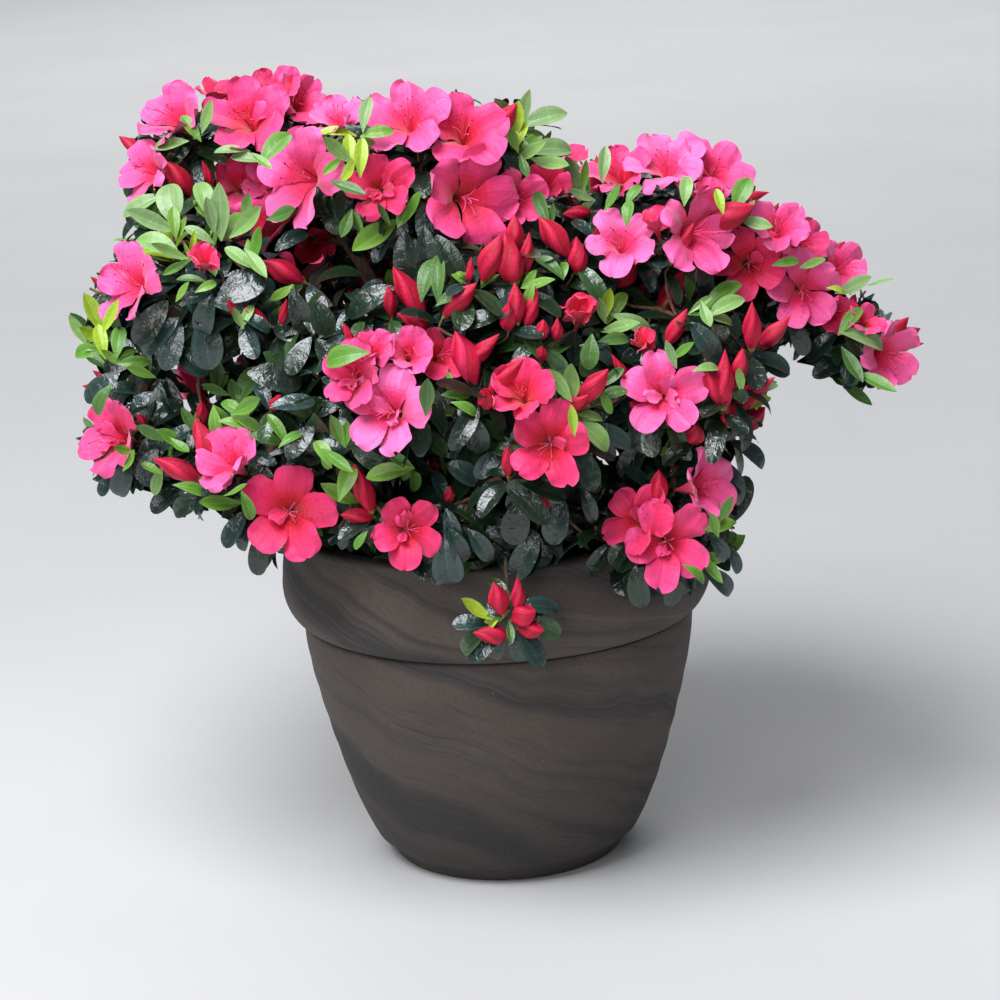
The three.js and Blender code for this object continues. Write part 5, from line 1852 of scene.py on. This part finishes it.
# The foliage and blossom.

STRAY_BASE, STRAY_MIDDLE, STRAY_INNER_TIP = 14 * MM, 24 * MM, 0 * MM
LEAF_CHECKS, DROOPED_CHECK, DROOP_CHECKED = (0.3, 0.65, 1.0), 0.9, 0.22
GIRTHS = (0.9, 1.1)
LOTS = 1_000_000


def leaf_heap(name, growth, kind, materials, templates):
    """Copies leaf templates, and leaves out what isn't allowed where it would grow."""
    rows = zip(*growth.leaves[kind])
    place, way, upper, length, tint, detail, guard, wide = (np.array(row) for row in rows)
    way = unit(way)
    along = way * length[:, None]
    drooped = place + along * DROOPED_CHECK - DROOP_CHECKED * length[:, None] * WORLD_UP
    spots = np.stack([place + along * k for k in LEAF_CHECKS] + [drooped], 1)
    before = guard & (kind == "fresh")
    keep = allowed(spots) & ~hidden_by_hero(growth, spots[:, 1], guard, before)
    keep &= ~in_blooms(growth, spots) | before
    keep &= ~(beyond_outline(spots[:, 1]) | beyond_outline(spots[:, 2])) | guard
    held = (off_crown(place[keep]) < STRAY_BASE) & (off_crown(spots[keep, 1]) < STRAY_MIDDLE)
    keep[keep] = held | guard[keep]
    tucked = (off_crown(spots[keep, 2]) < STRAY_INNER_TIP) & ~beyond_outline(place[keep])
    keep[keep] = tucked | (detail[keep] != INNER)
    heap = Heap(name, materials, "foliage", leaf_slots)
    frames = frames_of(way, upper)
    pick = rng.integers(0, LOTS, len(place))
    for level, choices in templates.items():
        for k, template in enumerate(choices):
            mine = keep & (detail == level) & (pick % len(choices) == k)
            count = mine.sum()
            if count:
                stretch = np.ones((count, 3))
                stretch[:, 1] = wide[mine] * rng.uniform(*GIRTHS, count)
                sizes = length[mine][:, None] * stretch
                heap.add(template, frames[mine], sizes, place[mine], tint[mine])
    return heap.build()


BLOOM_VARIETIES, TUFTS, FULL_OF_PETALS = 4, 3, 4


def blossom(growth):
    """The blooms, each of the photograph's made by itself, and the stamens in most."""
    shapes = np.random.default_rng(SEED + 1)
    petals = petal_materials()
    heap = Heap("blossom", petals, "blossom", petal_slots)
    inner = Heap("stamens", petals, "blossom", stamen_slots)
    made = {}
    tufts = [stamens(shapes) for _ in range(TUFTS)]
    for i, b in enumerate(growth.blooms):
        key = ("hero", i) if b["hero"] else (b["kind"], b["extra"], i % BLOOM_VARIETIES)
        if key not in made:
            made[key] = bloom(b["kind"], b["extra"], b["hero"], shapes)
        turn = np.array([shapes.uniform(0, FULL_TURN)])
        copy = frames_facing(b["axis"][None], turn), [b["size"]], b["place"][None]
        # The tint shifts the petals' colours: partly their own colour, partly painted light and
        # shade.
        heap.add(made[key], *copy, [2 * b["tint"] - 3])
        if b["kind"] != "half" and b["extra"] < FULL_OF_PETALS:
            inner.add(tufts[i % TUFTS], *copy, [0])
    return heap.build(), inner.build()


# Each kind of bud: how plump it is, how far its petals wind round, and where it is fullest. Then
# how finely the buds are made, and how many petals lap over on each.
BUD_SHAPES = [(0.16, 2.2, 0.42), (0.18, 1.6, 0.5), (0.15, 2.6, 0.4), (0.2, 1.8, 0.54)]
HERO_BUD, OTHER_BUD = (14, 20, 4), (8, 12, 3)


def buds(growth):
    shapes = np.random.default_rng(SEED + 2)
    kinds = [(bud(rows, cols, plump, laps, wind, fullest, shapes), hero, k)
             for hero, (rows, cols, laps) in ((True, HERO_BUD), (False, OTHER_BUD))
             for k, (plump, wind, fullest) in enumerate(BUD_SHAPES)]
    heap = Heap("buds", bud_materials(), "blossom", bud_slots)
    for template, hero, k in kinds:
        mine = [b for i, b in enumerate(growth.buds)
                if i % len(BUD_SHAPES) == k and b["hero"] == hero]
        axes, places = (np.array([b[part] for b in mine]) for part in ("axis", "foot"))
        turn = shapes.uniform(0, FULL_TURN, len(mine))
        sizes = [(b["size"] * b["plump"], b["size"] * b["plump"], b["size"]) for b in mine]
        heap.add(template, frames_facing(axes, turn), sizes, places, [b["tint"] for b in mine])
    return heap.build()


# The stage.

FLOOR_HALF = 9.0


def make_floor():
    mesh = bpy.data.meshes.new("floor")
    corners = [(x * FLOOR_HALF, y * FLOOR_HALF, 0) for x, y in ((-1, -1), (1, -1), (1, 1), (-1, 1))]
    mesh.from_pydata(corners, [], [(0, 1, 2, 3)])
    mesh.materials.append(floor_material())
    floor = linked("floor", mesh)


def area_light(name, place, aim, size, power, srgb):
    lamp = bpy.data.lights.new(name, "AREA")
    lamp.shape, lamp.size, lamp.energy = "DISK", size, power
    lamp.color = linear(srgb)
    light = linked(name, lamp)
    light.location = place
    light.rotation_euler = (Vector(place) - Vector(aim)).to_track_quat("Z", "Y").to_euler()


SKY_TINT, SKY_STRENGTH = (222, 231, 244), 0.2
# Each light's name, place, aim, size, power and tint.
LIGHTS = [
    ("cloud", (-0.7, -1.0, 2.15), (0, 0, 0.3), 1.6, 91, (241, 243, 250)),
    ("front", (-0.6, -2.4, 1.2), (0, 0, 0.25), 1.1, 18, (250, 247, 248)),
    ("behind", (0, 4.2, 3.2), (0, 4.4, 0), 4.5, 175, (244, 245, 248)),
]


def make_lights():
    world = bpy.data.worlds.new("sky")
    world.use_nodes = True
    sky = world.node_tree.nodes["Background"]
    sky.inputs["Color"].default_value = (*linear(SKY_TINT), 1)
    sky.inputs["Strength"].default_value = SKY_STRENGTH
    bpy.context.scene.world = world
    for light in LIGHTS:
        area_light(*light)
    bpy.context.scene.view_settings.view_transform = "Standard"


make_camera()
make_floor()
make_lights()

growth = Growth()
hero_shoots(growth)
spread_shoots(growth)
inner_leaves(growth)

dark_leaf = leaf_materials("leaf_dark", DARK_BLADES, DARK_RIBS, *DARK_SURFACE)
dark_pieces = leaf_heap("leaves_dark", growth, "dark", dark_leaf, dark_templates())
fresh_leaf = leaf_materials("leaf_fresh", FRESH_BLADES, FRESH_RIBS, *FRESH_SURFACE)
leaf_heap("leaves_fresh", growth, "fresh", fresh_leaf, fresh_templates())
blossom_pieces, _ = blossom(growth)
buds(growth)

flowery = [n for n in mass_names if n.startswith(MASS_PREFIX + "top") or "right" in n]
leafy = [n for n in mass_names if n not in flowery]
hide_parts(*flowery)
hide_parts(*leafy)

bark, twigs = grow_limbs(growth)
bark_piece = bark.piece("bark_limbs", bark_material())
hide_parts("stem", *[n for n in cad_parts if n.startswith("bough_")])
twigs.piece("twigs", twig_material())

pot_mesh = drill(turned_mesh("pot_finish", pot_profile(), POT_TURNS, hand_thrown))
turned_piece("pot_finish", pot_mesh, clay_material(), "clay", "pot")
soil = mix_material()
turned_piece("mix_finish", mix_mesh(), soil, "mix", "potting_mix")
crumb_piece(soil)
